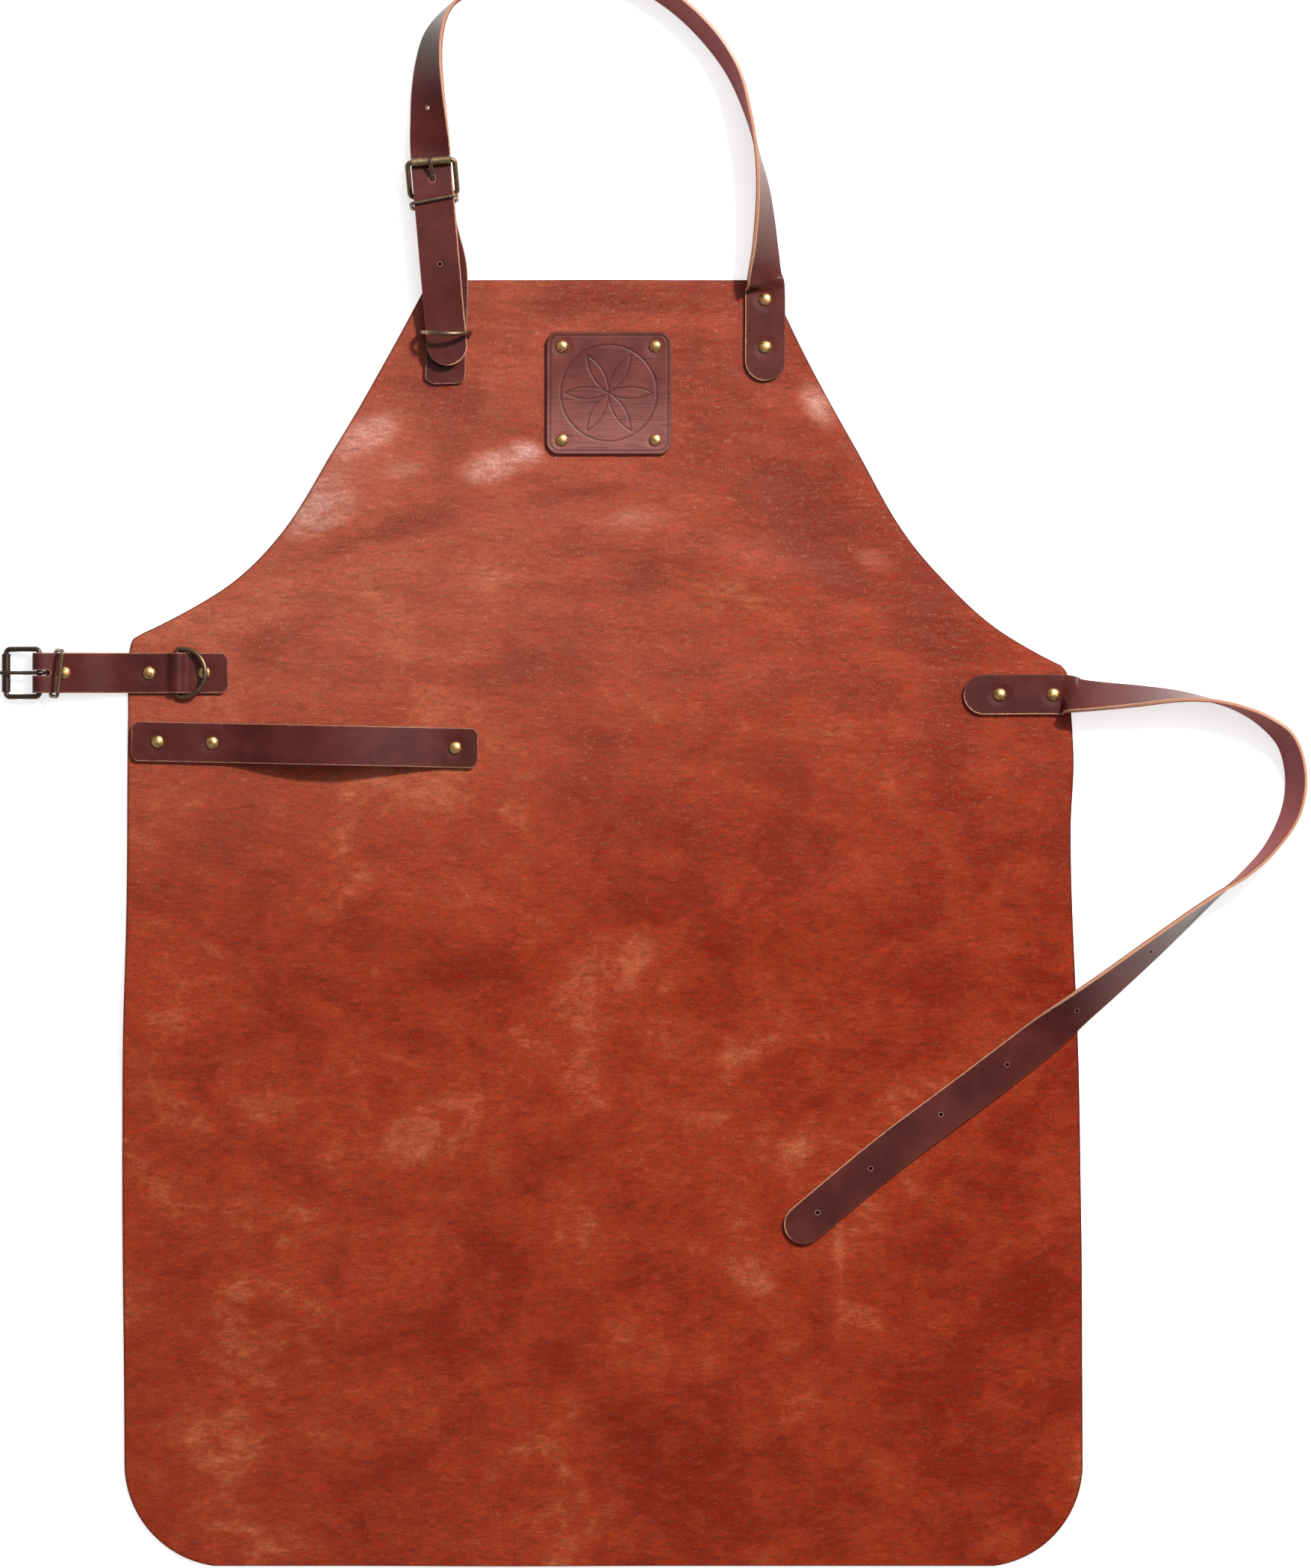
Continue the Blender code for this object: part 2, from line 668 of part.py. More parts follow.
def fold_profile():
    """Centre line (x, z) of a folded strap: under layer, turn round the bar, top layer."""
    half = STRAP_LEATHER / 2
    points = [(run, FOLD_FOOT + half) for run in (FOLD_BACK, FOLD_BACK / 2, 0.0)]
    for angle in range(-112, -271, -22):
        turn = math.radians(angle)
        points.append((FOLD_RADIUS * math.cos(turn), BAR_HEIGHT + FOLD_RADIUS * math.sin(turn)))
    pressed = FOLD_TOP - half
    rest = SEAT + half
    crest = RING_HEIGHT + RING_WIRE / 2 + CLEARANCE + half
    settle = FOLD_SETTLE * FIRST_RIVET
    for share in (0.25, 0.5, 0.75, 1.0):
        points.append((share * settle, blend(BAR_HEIGHT + FOLD_RADIUS, pressed, share)))
    sheet_start = SECOND_RIVET - SHEET_LAP
    for share in (0.0, 0.3, 0.5, 0.7, 1.0):
        run = FOLD_BACK + share * (sheet_start - FOLD_BACK)
        points.append((run, blend(pressed, rest, share)))
    points.append((SECOND_RIVET, rest))
    for share in (-1.0, -0.7, -0.45, -0.22, 0.0, 0.22, 0.45, 0.7, 1.0):
        rise = math.cos(math.pi / 2 * share) ** 2
        points.append((RING_BAR + share * HUMP_HALF_LENGTH, rest + (crest - rest) * rise))
    half_width = BUCKLE_STRAP_WIDTH / 2
    for row in reversed(CUT_TIP):
        points.append((BUCKLE_STRAP_END - row.run * half_width, rest))
    return points


def sway_at(run, sway):
    """Sideways shift of a folded strap at this run."""
    share = min(max(run / BUCKLE_STRAP_END, 0.0), 1.0)
    runs, shifts = zip(*sway)
    return float(eased(runs, shifts, share, steady=True)) * BUCKLE_STRAP_WIDTH


def sway_heading(run, sway):
    """Angle of the swayed strap's line from straight, in radians."""
    near = 0.001
    return math.atan2(sway_at(run + near, sway) - sway_at(run - near, sway), 2 * near)


def add_buckle_strap(name, sway, material, parent):
    profile = fold_profile()
    half = BUCKLE_STRAP_WIDTH / 2
    centres = [Vector((x, sway_at(x, sway), z)) for x, z in profile]
    headings = [sway_heading(x, sway) for x, z in profile]
    across = [Vector((-math.sin(turn), math.cos(turn), 0.0)) for turn in headings]
    normals = []
    for side, before, after in zip(across, [profile[0], *profile], [*profile[1:], profile[-1]]):
        forth, up = after[0] - before[0], after[1] - before[1]
        run = Vector((side.y * forth, -side.x * forth, up))
        normals.append(run.cross(side).normalized())
    last = len(profile) - len(CUT_TIP)
    halves = [half] * last + [row.half * half for row in reversed(CUT_TIP)]
    bm = bmesh.new()
    ribbon_into(bm, centres, across, normals, halves, STRAP_LEATHER)
    made = add_mesh(name, bm, material, parent)
    slot = bmesh.new()
    bmesh.ops.create_cube(slot, size=1.0)
    low, high = -2 * FOLD_RADIUS, SLOT_LENGTH
    for corner in slot.verts:
        corner.co.x = low if corner.co.x < 0 else high
        corner.co.y *= SLOT_WIDTH
        corner.co.z = BAR_HEIGHT + corner.co.z * 6 * FOLD_RADIUS
    cut(made, as_cutter(add_mesh(name + "_slot", slot, material, parent)))
    return made


def add_frame(name, parent, tilt, material):
    """Rectangular wire frame, turned about its near bar."""
    hinge = add_empty(name + "_axis", (0.0, 0.0, BAR_HEIGHT), (0.0, math.radians(tilt), 0.0), parent)
    outline = rounded_box(-BAR_SPACING, 0.0, (FRAME_WIDTH - FRAME_WIRE) / 2, FRAME_CORNER)
    wire_loop(name, [(x, y, 0.0) for x, y in outline], FRAME_WIRE, material, hinge)
    return hinge


def add_roller(name, hinge, material):
    """Sheet-metal sleeve that turns on the frame's far bar."""
    half = (FRAME_WIDTH - FRAME_WIRE) / 2 - FRAME_CORNER - CLEARANCE
    inner = FRAME_WIRE / 2 + CLEARANCE
    wall = [(ROLLER_RADIUS, -half), (ROLLER_RADIUS, half), (inner, half), (inner, -half)]
    bm = bmesh.new()
    turned_into(bm, wall, 12)
    made = add_mesh(name, bm, material, hinge, smooth=True)
    made.location = (-BAR_SPACING, 0.0, 0.0)
    made.rotation_euler = (math.radians(90), 0.0, 0.0)


def prong_points():
    """A prong's centre line: straight shank, drooped tip, and the eye round the bar."""
    eye = FRAME_WIRE / 2 + CLEARANCE + PRONG_WIRE / 2
    points = [
        (-PRONG_LENGTH, 0.0, -PRONG_DROOP),
        (-0.93 * PRONG_LENGTH, 0.0, -PRONG_DROOP / 2),
        (-0.82 * PRONG_LENGTH, 0.0, 0.0),
        (-2.0 * eye, 0.0, 0.0),
        (-1.42 * eye, 0.0, 0.22 * eye),
    ]
    for angle in range(140, -146, -26):
        turn = math.radians(angle)
        points.append((eye * math.cos(turn), 0.0, eye * math.sin(turn)))
    return points


def add_prong(name, hinge, material):
    turn = add_empty(name + "_axis", (0.0, 0.0, 0.0), (0.0, math.radians(PRONG_RISE), 0.0), hinge)
    made = wire_loop(name, prong_points(), PRONG_WIRE, material, turn, closed=False)
    made.data.bevel_resolution = 1
    return made


def add_keeper(name, parent, foot, lean, turn, material):
    """Wire loop that holds the strap's tail, leaning on the folded strap."""
    half = BUCKLE_STRAP_WIDTH / 2 + 1.5 * CLEARANCE + KEEPER_WIRE / 2
    outline = rounded_box(0.0, KEEPER_HEIGHT, half, KEEPER_CORNER)
    made = wire_loop(name, [(0.0, y, z) for z, y in outline], KEEPER_WIRE, material, parent)
    made.data.bevel_resolution = 1
    made.location = (foot, 0.0, KEEPER_WIRE / 2)
    made.rotation_euler = (0.0, math.radians(lean), math.radians(turn))


def add_ring(name, parent, tilt, sway, material):
    """D ring: bar under the strap, straight shoulders and a half-round bow."""
    points = []
    for side, start in ((1, 90), (-1, 180)):
        centre = (RING_CORNER, side * (RING_HALF - RING_CORNER))
        points += rounded_corner(centre, RING_CORNER, start, 2)
    for k in range(11):
        turn = math.radians(-90 + 18 * k)
        points.append((RING_SIDE + RING_HALF * math.cos(turn), RING_HALF * math.sin(turn)))
    made = wire_loop(name, [(x, y, 0.0) for x, y in points], RING_WIRE, material, parent)
    made.data.bevel_resolution = 1
    made.location = (RING_BAR, sway_at(RING_BAR, sway), RING_HEIGHT)
    made.rotation_euler = (0.0, math.radians(-tilt), sway_heading(RING_BAR, sway))


def set_rivets(prefix, origin, sway):
    """Places of a buckle set's three rivets, in the apron's frame."""
    places = []
    for number, run in enumerate((FIRST_RIVET, SECOND_RIVET, THIRD_RIVET), 1):
        name = f"{prefix}_rivet_{number}"
        spot = origin.matrix_basis @ Vector((run, sway_at(run, sway), 0.0))
        foot, top = (FOLD_FOOT, FOLD_TOP) if run < FOLD_BACK else (0.0, STRAP_TOP)
        places.append(RivetPlace(name, spot.x, spot.y, foot, top, RIVET_CAP_RADIUS))
    return places


def strap_rivet(name, place):
    """The place of a rivet that holds a free strap on the sheet."""
    return RivetPlace(name, place.x, place.y, 0.0, STRAP_TOP, RIVET_CAP_RADIUS)


def add_buckle_set(prefix, origin, sway, frame_tilt, ring_tilt, keeper, materials):
    strap = add_buckle_strap(f"{prefix}_buckle_strap", sway, materials["strap"], origin)
    hinge = add_frame(f"{prefix}_frame", origin, frame_tilt, materials["bronze"])
    add_roller(f"{prefix}_roller", hinge, materials["roller"])
    add_prong(f"{prefix}_prong", hinge, materials["bronze"])
    add_keeper(f"{prefix}_keeper", origin, *keeper, materials["bronze"])
    add_ring(f"{prefix}_ring", origin, ring_tilt, sway, materials["bronze"])
    return strap


# Where the straps meet the sheet


def neck_origin():
    """Axis point of the neck buckle: back along its strap from the rivet on the bib."""
    y = BODY_LENGTH / 2 - NECK_BUCKLE_DROP
    x = left_edge(y) + NECK_BUCKLE_INSET + RIVET_CAP_RADIUS
    lean = math.radians(NECK_LEAN)
    heading = Vector((math.sin(lean), -math.cos(lean), 0.0))
    sway = sway_at(SECOND_RIVET, NECK_SWAY) * Vector((math.cos(lean), math.sin(lean), 0.0))
    place = Vector((x, y, 0.0)) - heading * SECOND_RIVET - sway
    return add_empty("neck_set", place, (0.0, 0.0, lean - math.pi / 2))


def waist_origin():
    y = BODY_LENGTH / 2 - WAIST_BUCKLE_DROP
    x = left_edge(y) + WAIST_BUCKLE_INSET - SECOND_RIVET
    return add_empty("waist_set", Vector((x, y, 0.0)))


def neck_feet():
    """The neck strap's upper rivet on the bib's right."""
    y = BODY_LENGTH / 2 - NECK_STRAP_DROP
    return Vector((right_edge(y) - NECK_STRAP_INSET - RIVET_CAP_RADIUS, y, 0.0))


def neck_tail_heights():
    """Where the neck strap's underside runs in its buckle: (run from the bar, height)."""
    tilt = math.radians(NECK_FRAME_TILT)
    far = BAR_SPACING * math.cos(tilt)
    roller = BAR_HEIGHT + BAR_SPACING * math.sin(tilt)
    under_roller = roller - ROLLER_RADIUS - CLEARANCE - STRAP_LEATHER
    over_bar = BAR_HEIGHT + FOLD_RADIUS + STRAP_LEATHER / 2 + 1.9 * CLEARANCE
    over_first = FOLD_TOP + 2 * CLEARANCE + RIVET_CAP_HEIGHT
    over_ring = RING_HEIGHT + RING_WIRE / 2 + 3 * CLEARANCE + STRAP_LEATHER
    slack = 0.0012
    return [
        (-far, under_roller),
        (-0.5 * far, under_roller + 0.47 * (over_bar - under_roller)),
        (0.0, over_bar),
        (FIRST_RIVET, over_first + slack),
        (0.5 * (FIRST_RIVET + RING_BAR), over_first + slack),
        (RING_BAR, over_ring),
        (NECK_TAIL, over_ring),
    ]


def neck_path(origin):
    """From the riveted tip on the right, over the crown, to the tail in the buckle."""
    foot = neck_feet()
    tail = [origin.matrix_basis @ Vector((run, 0.0, height)) for run, height in neck_tail_heights()]
    roller = tail[0]
    crown = BODY_LENGTH / 2 + NECK_RISE
    stations = [
        Station(foot.x, foot.y - NECK_RIVET_PITCH - NECK_TIP, SEAT, 0.0),
        Station(foot.x, foot.y - NECK_RIVET_PITCH, SEAT, 0.0),
        Station(foot.x, foot.y + 1.1 * RIVET_CAP_RADIUS, SEAT, 0.0),
    ]
    for row in NECK_LOOP:
        base = foot.y if row.side == "right" else roller.y
        x = roller.x + row.span * (foot.x - roller.x)
        stations.append(Station(x, base + row.rise * (crown - base), row.lift * SEAT, row.tilt))
    stations += [Station(place.x, place.y, place.z, 0.0) for place in tail]
    return StrapPath(stations, inner=1)


def waist_feet():
    """The waist strap's outer rivet near the sheet's right edge."""
    y = BODY_LENGTH / 2 - WAIST_STRAP_DROP
    return Vector((right_edge(y) - WAIST_STRAP_INSET, y, 0.0))


def waist_path():
    """From the riveted tip on the right hip, round the loop, to the tail on the skirt."""
    foot = waist_feet()
    stations = [
        Station(foot.x - WAIST_RIVET_PITCH - WAIST_TIP, foot.y, SEAT, 0.0),
        Station(foot.x - WAIST_RIVET_PITCH, foot.y, SEAT, 0.0),
        Station(foot.x + 1.1 * RIVET_CAP_RADIUS, foot.y, SEAT, 0.0),
    ]
    for row in WAIST_LOOP:
        x = foot.x + row.reach * WAIST_LOOP_REACH
        y = foot.y - row.drop * WAIST_LOOP_DROP
        stations.append(Station(x, y, row.lift * SEAT, row.tilt))
    return StrapPath(stations, inner=-1)


# Towel loop and patch


def loop_start():
    y = BODY_LENGTH / 2 - LOOP_DROP
    return Vector((left_edge(y) + LOOP_INSET, y, 0.0))


def loop_spot(run):
    slope = math.radians(LOOP_SLOPE)
    return loop_start() + run * Vector((math.cos(slope), math.sin(slope), 0.0))


def loop_rivets():
    runs = (LOOP_FIRST_RIVET, LOOP_SECOND_RIVET, LOOP_LENGTH - LOOP_LAST_RIVET)
    return [strap_rivet(f"loop_rivet_{k}", loop_spot(run)) for k, run in enumerate(runs, 1)]


def add_towel_loop(material):
    """A strap riveted twice at one end and once at the other, bowed up between."""
    flat_round_rivet = 1.6 * RIVET_CAP_RADIUS
    bow_start = LOOP_SECOND_RIVET + flat_round_rivet
    bow_end = LOOP_LENGTH - LOOP_LAST_RIVET - flat_round_rivet
    stations = []
    for run in (0.0, LOOP_SECOND_RIVET):
        stations.append(Station(*loop_spot(run).xy, SEAT, 0.0))
    for k in range(13):
        share = k / 12
        run = bow_start + share * (bow_end - bow_start)
        foot = SEAT + LOOP_RISE * math.sin(math.pi * share) ** 1.5
        stations.append(Station(*loop_spot(run).xy, foot, 0.0))
    stations.append(Station(*loop_spot(LOOP_LENGTH).xy, SEAT, 0.0))
    path = StrapPath(stations, inner=1)
    return add_strap("towel_loop", path, STRAP_WIDTH, CUT_TIP, CUT_TIP, material)


def patch_centre():
    return Vector((PATCH_SHIFT, BODY_LENGTH / 2 - PATCH_DROP, 0.0))


def patch_rivets():
    centre = patch_centre()
    half_x = PATCH_WIDTH / 2 - PATCH_RIVET_INSET_X
    half_y = PATCH_HEIGHT / 2 - PATCH_RIVET_INSET_Y
    corners = ((-1, 1), (1, 1), (-1, -1), (1, -1))
    return [
        RivetPlace(
            f"patch_rivet_{k}",
            centre.x + sx * half_x,
            centre.y + sy * half_y,
            0.0,
            SEAT + PATCH_LEATHER,
            PATCH_RIVET_CAP_RADIUS,
        )
        for k, (sx, sy) in enumerate(corners, 1)
    ]


def add_patch(material):
    """Square of leather with round corners and a softened top edge."""
    outline = rounded_box(-PATCH_WIDTH / 2, PATCH_WIDTH / 2, PATCH_HEIGHT / 2, PATCH_CORNER)
    centre = patch_centre()
    soft = PATCH_LEATHER / 4
    bm = bmesh.new()
    rings = []
    top = SEAT + PATCH_LEATHER
    for height, inset in ((SEAT, 0.0), (top - soft, 0.0), (top, soft)):
        share_x = 1 - 2 * inset / PATCH_WIDTH
        share_y = 1 - 2 * inset / PATCH_HEIGHT
        spots = [(centre.x + x * share_x, centre.y + y * share_y, height) for x, y in outline]
        rings.append([bm.verts.new(spot) for spot in spots])
    for low, high in zip(rings, rings[1:]):
        for k in range(len(outline)):
            after = (k + 1) % len(outline)
            bm.faces.new((low[k], low[after], high[after], high[k]))
    bm.faces.new(rings[0])
    bm.faces.new(rings[-1])
    return add_mesh("patch", bm, material)


for stale in list(bpy.data.objects):
    bpy.data.objects.remove(stale, do_unlink=True)

finishes = {
    "body": leather("waxed_leather", (0.30, 0.065, 0.022), 0.45),
    "strap": leather("strap_leather", (0.085, 0.028, 0.022), 0.40),
    "patch": leather("patch_leather", (0.115, 0.028, 0.020), 0.42),
    "brass": metal("antique_brass", (0.62, 0.44, 0.20), 0.32),
    "bronze": metal("dark_bronze", (0.16, 0.115, 0.075), 0.38),
    "roller": metal("roller_bronze", (0.30, 0.22, 0.13), 0.34),
    "helper": leather("helper", (0.5, 0.5, 0.5)),
}

neck_set = neck_origin()
waist_set = waist_origin()
neck_foot = neck_feet()
waist_foot = waist_feet()
rivets = (
    patch_rivets()
    + [
        strap_rivet("neck_rivet_1", neck_foot),
        strap_rivet("neck_rivet_2", neck_foot - Vector((0.0, NECK_RIVET_PITCH, 0.0))),
        strap_rivet("waist_rivet_1", waist_foot - Vector((WAIST_RIVET_PITCH, 0.0, 0.0))),
        strap_rivet("waist_rivet_2", waist_foot),
    ]
    + loop_rivets()
    + set_rivets("neck_buckle", neck_set, NECK_SWAY)
    + set_rivets("waist_buckle", waist_set, NO_SWAY)
)
rivet_cutter = add_rivet_cutter(rivets, finishes["helper"])
for place in rivets:
    add_rivet(place, finishes["brass"])

apron_body(finishes["body"], rivet_cutter)
cut(add_patch(finishes["patch"]), rivet_cutter)
cut(add_towel_loop(finishes["strap"]), rivet_cutter)

neck_keeper = (NECK_KEEPER_FOOT, NECK_KEEPER_LEAN, NECK_KEEPER_TURN)
neck_buckle_strap = add_buckle_set(
    "neck", neck_set, NECK_SWAY, NECK_FRAME_TILT, NECK_RING_TILT, neck_keeper, finishes
)
waist_keeper = (WAIST_KEEPER_FOOT, WAIST_KEEPER_LEAN, WAIST_KEEPER_TURN)
waist_buckle_strap = add_buckle_set(
    "waist", waist_set, NO_SWAY, WAIST_FRAME_TILT, RING_LIE, waist_keeper, finishes
)
cut(neck_buckle_strap, rivet_cutter)
cut(waist_buckle_strap, rivet_cutter)

neck_line = neck_path(neck_set)
neck_strap = add_strap(
    "neck_strap", neck_line, STRAP_WIDTH, ROUND_TIP, ROUND_TIP, finishes["strap"]
)
neck_holes = [neck_line.length - NECK_FIRST_HOLE - k * HOLE_PITCH for k in (0, 2)]
cut(neck_strap, rivet_cutter)
cut(neck_strap, add_hole_cutter("neck_punch", neck_line, neck_holes, finishes["helper"]))
prong_rise = add_empty(
    "prong_cut_axis",
    (0.0, 0.0, BAR_HEIGHT),
    (0.0, math.radians(NECK_FRAME_TILT + PRONG_RISE), 0.0),
    neck_set,
)
shank = bmesh.new()
shank_radius = PRONG_WIRE / 2 + 1.6 * CLEARANCE
turned_into(
    shank,
    [
        (0.0, -PRONG_LENGTH / 2),
        (shank_radius, -PRONG_LENGTH / 2),
        (shank_radius, PRONG_LENGTH / 2),
        (0.0, PRONG_LENGTH / 2),
    ],
    8,
)
shank_cutter = as_cutter(add_mesh("prong_punch", shank, finishes["helper"], prong_rise))
shank_cutter.location = (-PRONG_LENGTH / 2 - FOLD_RADIUS, 0.0, 0.0)
shank_cutter.rotation_euler = (0.0, math.pi / 2, 0.0)
cut(neck_strap, shank_cutter)

waist_line = waist_path()
waist_strap = add_strap(
    "waist_strap", waist_line, STRAP_WIDTH, ROUND_TIP, ROUND_TIP, finishes["strap"]
)
waist_holes = [waist_line.length - share * HOLE_PITCH for share in WAIST_HOLES]
cut(waist_strap, rivet_cutter)
cut(waist_strap, add_hole_cutter("waist_punch", waist_line, waist_holes, finishes["helper"]))
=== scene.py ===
"""The looks of a leather work apron that lies flat on a table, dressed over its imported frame.

Metres throughout: +Y runs from the hem to the bib, +X to the right, +Z up off the grain side.
"""

from collections import namedtuple
from math import asin, cos, degrees, pi, radians, sin, sqrt, tan, tau

import bmesh
import bpy
import numpy as np
from mathutils import Matrix, Vector, noise


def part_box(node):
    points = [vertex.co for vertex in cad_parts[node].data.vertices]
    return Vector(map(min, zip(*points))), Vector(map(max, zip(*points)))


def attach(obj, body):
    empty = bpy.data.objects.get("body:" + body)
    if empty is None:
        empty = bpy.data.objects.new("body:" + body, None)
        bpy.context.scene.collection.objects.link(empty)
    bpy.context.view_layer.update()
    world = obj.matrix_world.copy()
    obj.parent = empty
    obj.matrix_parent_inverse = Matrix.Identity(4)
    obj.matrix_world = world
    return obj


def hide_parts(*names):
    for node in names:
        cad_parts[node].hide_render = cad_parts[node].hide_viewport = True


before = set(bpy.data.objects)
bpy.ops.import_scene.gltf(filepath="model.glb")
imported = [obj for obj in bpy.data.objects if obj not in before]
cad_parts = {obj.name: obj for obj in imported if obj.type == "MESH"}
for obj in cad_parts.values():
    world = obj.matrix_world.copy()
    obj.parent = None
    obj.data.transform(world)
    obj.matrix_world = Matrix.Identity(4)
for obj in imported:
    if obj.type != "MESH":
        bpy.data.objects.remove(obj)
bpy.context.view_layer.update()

# The table and its light
# A white table top, a key lamp at the upper right that throws the short shadows, and a pale
# room all round. The camera looks straight down on the middle of the apron.
VIEW_CENTRE = (0.033, 0.087)
VIEW_HEIGHT = 0.98207
CAMERA_HEIGHT = 4.0
TABLE_HALF = 3.0
KEY_DISTANCE = 3.0
KEY_HEIGHT = 47.0
KEY_HEADING = 50.7
KEY_SIZE = 0.30
KEY_POWER = 125.0
KEY_COLOUR = (1.0, 0.965, 0.915)
ROOM_LIGHT = 0.30
GLOW_LIGHT = 1.6
TABLE_GLOW = 0.62
TABLE_GAP = 0.0004

scene = bpy.context.scene


def about(axis, angle):
    """A turn about one axis, in degrees."""
    return Matrix.Rotation(radians(angle), 4, axis)


def shifted(x, y, z):
    """A move."""
    return Matrix.Translation((x, y, z))


def placed(name, data):
    """An object in the scene."""
    made = bpy.data.objects.new(name, data)
    scene.collection.objects.link(made)
    return made


scene.view_settings.view_transform = "Standard"
overhead = bpy.data.cameras.new("overhead")
overhead.sensor_width = 36.0
overhead.lens = overhead.sensor_width * CAMERA_HEIGHT / VIEW_HEIGHT
camera = placed("overhead", overhead)
camera.location = (*VIEW_CENTRE, CAMERA_HEIGHT)
scene.camera = camera

key = bpy.data.lights.new("key_lamp", "AREA")
key.shape = "DISK"
key.size = KEY_SIZE
key.energy = KEY_POWER
key.color = KEY_COLOUR
key_lamp = placed("key_lamp", key)
height, heading = radians(KEY_HEIGHT), radians(KEY_HEADING)
towards_key = Vector((cos(heading), sin(heading), tan(height))).normalized()
key_lamp.location = Vector((*VIEW_CENTRE, 0.0)) + towards_key * KEY_DISTANCE
key_lamp.rotation_euler = towards_key.to_track_quat("Z", "Y").to_euler()


def adds_node(operation):
    """A Python operator that adds a Math node."""
    return lambda self, *terms: self.nodes.sum_of(operation, self, *terms)


def adds_node_after(operation):
    """The same for a link on the operator's right."""
    return lambda self, term: self.nodes.sum_of(operation, term, self)


class Link:
    """One output socket of a node. Sums on it add Math nodes to its tree."""

    def __init__(self, nodes, socket):
        self.nodes, self.socket = nodes, socket

    __add__, __radd__ = adds_node("ADD"), adds_node_after("ADD")
    __sub__, __rsub__ = adds_node("SUBTRACT"), adds_node_after("SUBTRACT")
    __mul__, __rmul__ = adds_node("MULTIPLY"), adds_node_after("MULTIPLY")
    __truediv__, __pow__ = adds_node("DIVIDE"), adds_node("POWER")
    __abs__ = adds_node("ABSOLUTE")

    def other(self, name):
        """Another output of the same node."""
        return Link(self.nodes, self.socket.node.outputs[name])

    def within(self, low, high):
        """0 below low, 1 above high, and a soft rise between. low may be the larger."""
        return self.nodes.node(
            "ShaderNodeMapRange",
            {"interpolation_type": "SMOOTHSTEP"},
            {"Value": self, "From Min": low, "From Max": high},
        )


class Nodes:
    """A node tree that is written down node by node."""

    def __init__(self, tree):
        self.tree = tree

    def node(self, kind, settings=None, values=None, out=0):
        """Adds a node: its settings first, then the values or links of its sockets."""
        made = self.tree.nodes.new(kind)
        for name, setting in (settings or {}).items():
            setattr(made, name, setting)
        for key, value in (values or {}).items():
            if isinstance(value, Link):
                self.tree.links.new(value.socket, made.inputs[key])
            else:
                made.inputs[key].default_value = value
        return Link(self, made.outputs[out])

    def sum_of(self, operation, *terms):
        """Any Math operation by its name."""
        return self.node("ShaderNodeMath", {"operation": operation}, dict(enumerate(terms)))

    def moved(self, place, direction, far):
        """A place moved some way in a direction."""
        step = self.node(
            "ShaderNodeVectorMath", {"operation": "SCALE"}, {0: direction, "Scale": far}
        )
        return self.node("ShaderNodeVectorMath", {"operation": "ADD"}, {0: place, 1: step})


class Finish(Nodes):
    """A procedural material of the apron."""

    def __init__(self, name, roughness, metallic=0.0, coat=0.0, coat_roughness=0.2, specular=0.5):
        self.material = bpy.data.materials.new(name)
        self.material.use_nodes = True
        super().__init__(self.material.node_tree)
        self.shader = self.tree.nodes["Principled BSDF"]
        for socket, value in (
            ("Roughness", roughness), ("Metallic", metallic), ("Coat Weight", coat),
            ("Coat Roughness", coat_roughness), ("Specular IOR Level", specular),
        ):
            self.shader.inputs[socket].default_value = value
        self.place = self.node("ShaderNodeTexCoord", out=3)

    def feed(self, socket, link):
        """Links a value to one of the shader's inputs."""
        self.tree.links.new(link.socket, self.shader.inputs[socket])

    def marked(self, name):
        """A number stored on the piece, such as the distance from its cut edge."""
        return self.node("ShaderNodeAttribute", {"attribute_name": name}, out="Fac")

    def turned(self, angle, stretch):
        """The place on the piece, stretched, then turned about +Z."""
        turn = (0.0, 0.0, radians(angle))
        values = {"Vector": self.place, "Rotation": turn, "Scale": stretch}
        return self.node("ShaderNodeMapping", {"vector_type": "POINT"}, values)

    def clouds(self, where, per_metre, detail=4.0, rough=0.55, swirl=0.0):
        """Soft noise from 0 to 1."""
        values = {"Vector": where, "Scale": per_metre, "Detail": detail}
        values |= {"Roughness": rough, "Distortion": swirl}
        return self.node("ShaderNodeTexNoise", {"noise_dimensions": "3D"}, values)

    def streaks(self, angle, stretch, **how):
        """Clouds drawn out along a turned direction; stretch is in cells per metre."""
        return self.clouds(self.turned(angle, stretch), 1.0, **how)

    def mixed(self, share, one, other):
        """Two colours mixed by a share."""
        colours = [c if isinstance(c, Link) else (*c, 1.0) for c in (one, other)]
        return self.node(
            "ShaderNodeMix",
            {"data_type": "RGBA"},
            {0: share, 6: colours[0], 7: colours[1]},
            out=2,
        )

    def raised(self, height, metres, strength=1.0):
        """A bump from a height of 0 to 1 that stands so many metres."""
        values = {"Height": height, "Distance": metres, "Strength": strength}
        return self.node("ShaderNodeBump", {}, values)


def lit_room():
    """A dim room whose light gathers softly round the lamp."""
    room = bpy.data.worlds.new("room")
    room.use_nodes = True
    sky = Nodes(room.node_tree)
    facing = sky.node("ShaderNodeTexCoord", out="Generated")
    near = sky.node(
        "ShaderNodeVectorMath",
        {"operation": "DOT_PRODUCT"},
        {0: facing, 1: tuple(towards_key)},
        out="Value",
    )
    background = room.node_tree.nodes["Background"]
    background.inputs["Color"].default_value = (0.95, 0.97, 1.0, 1.0)
    strength = ROOM_LIGHT + near.within(0.74, 0.99) * GLOW_LIGHT
    room.node_tree.links.new(strength.socket, background.inputs["Strength"])
    scene.world = room


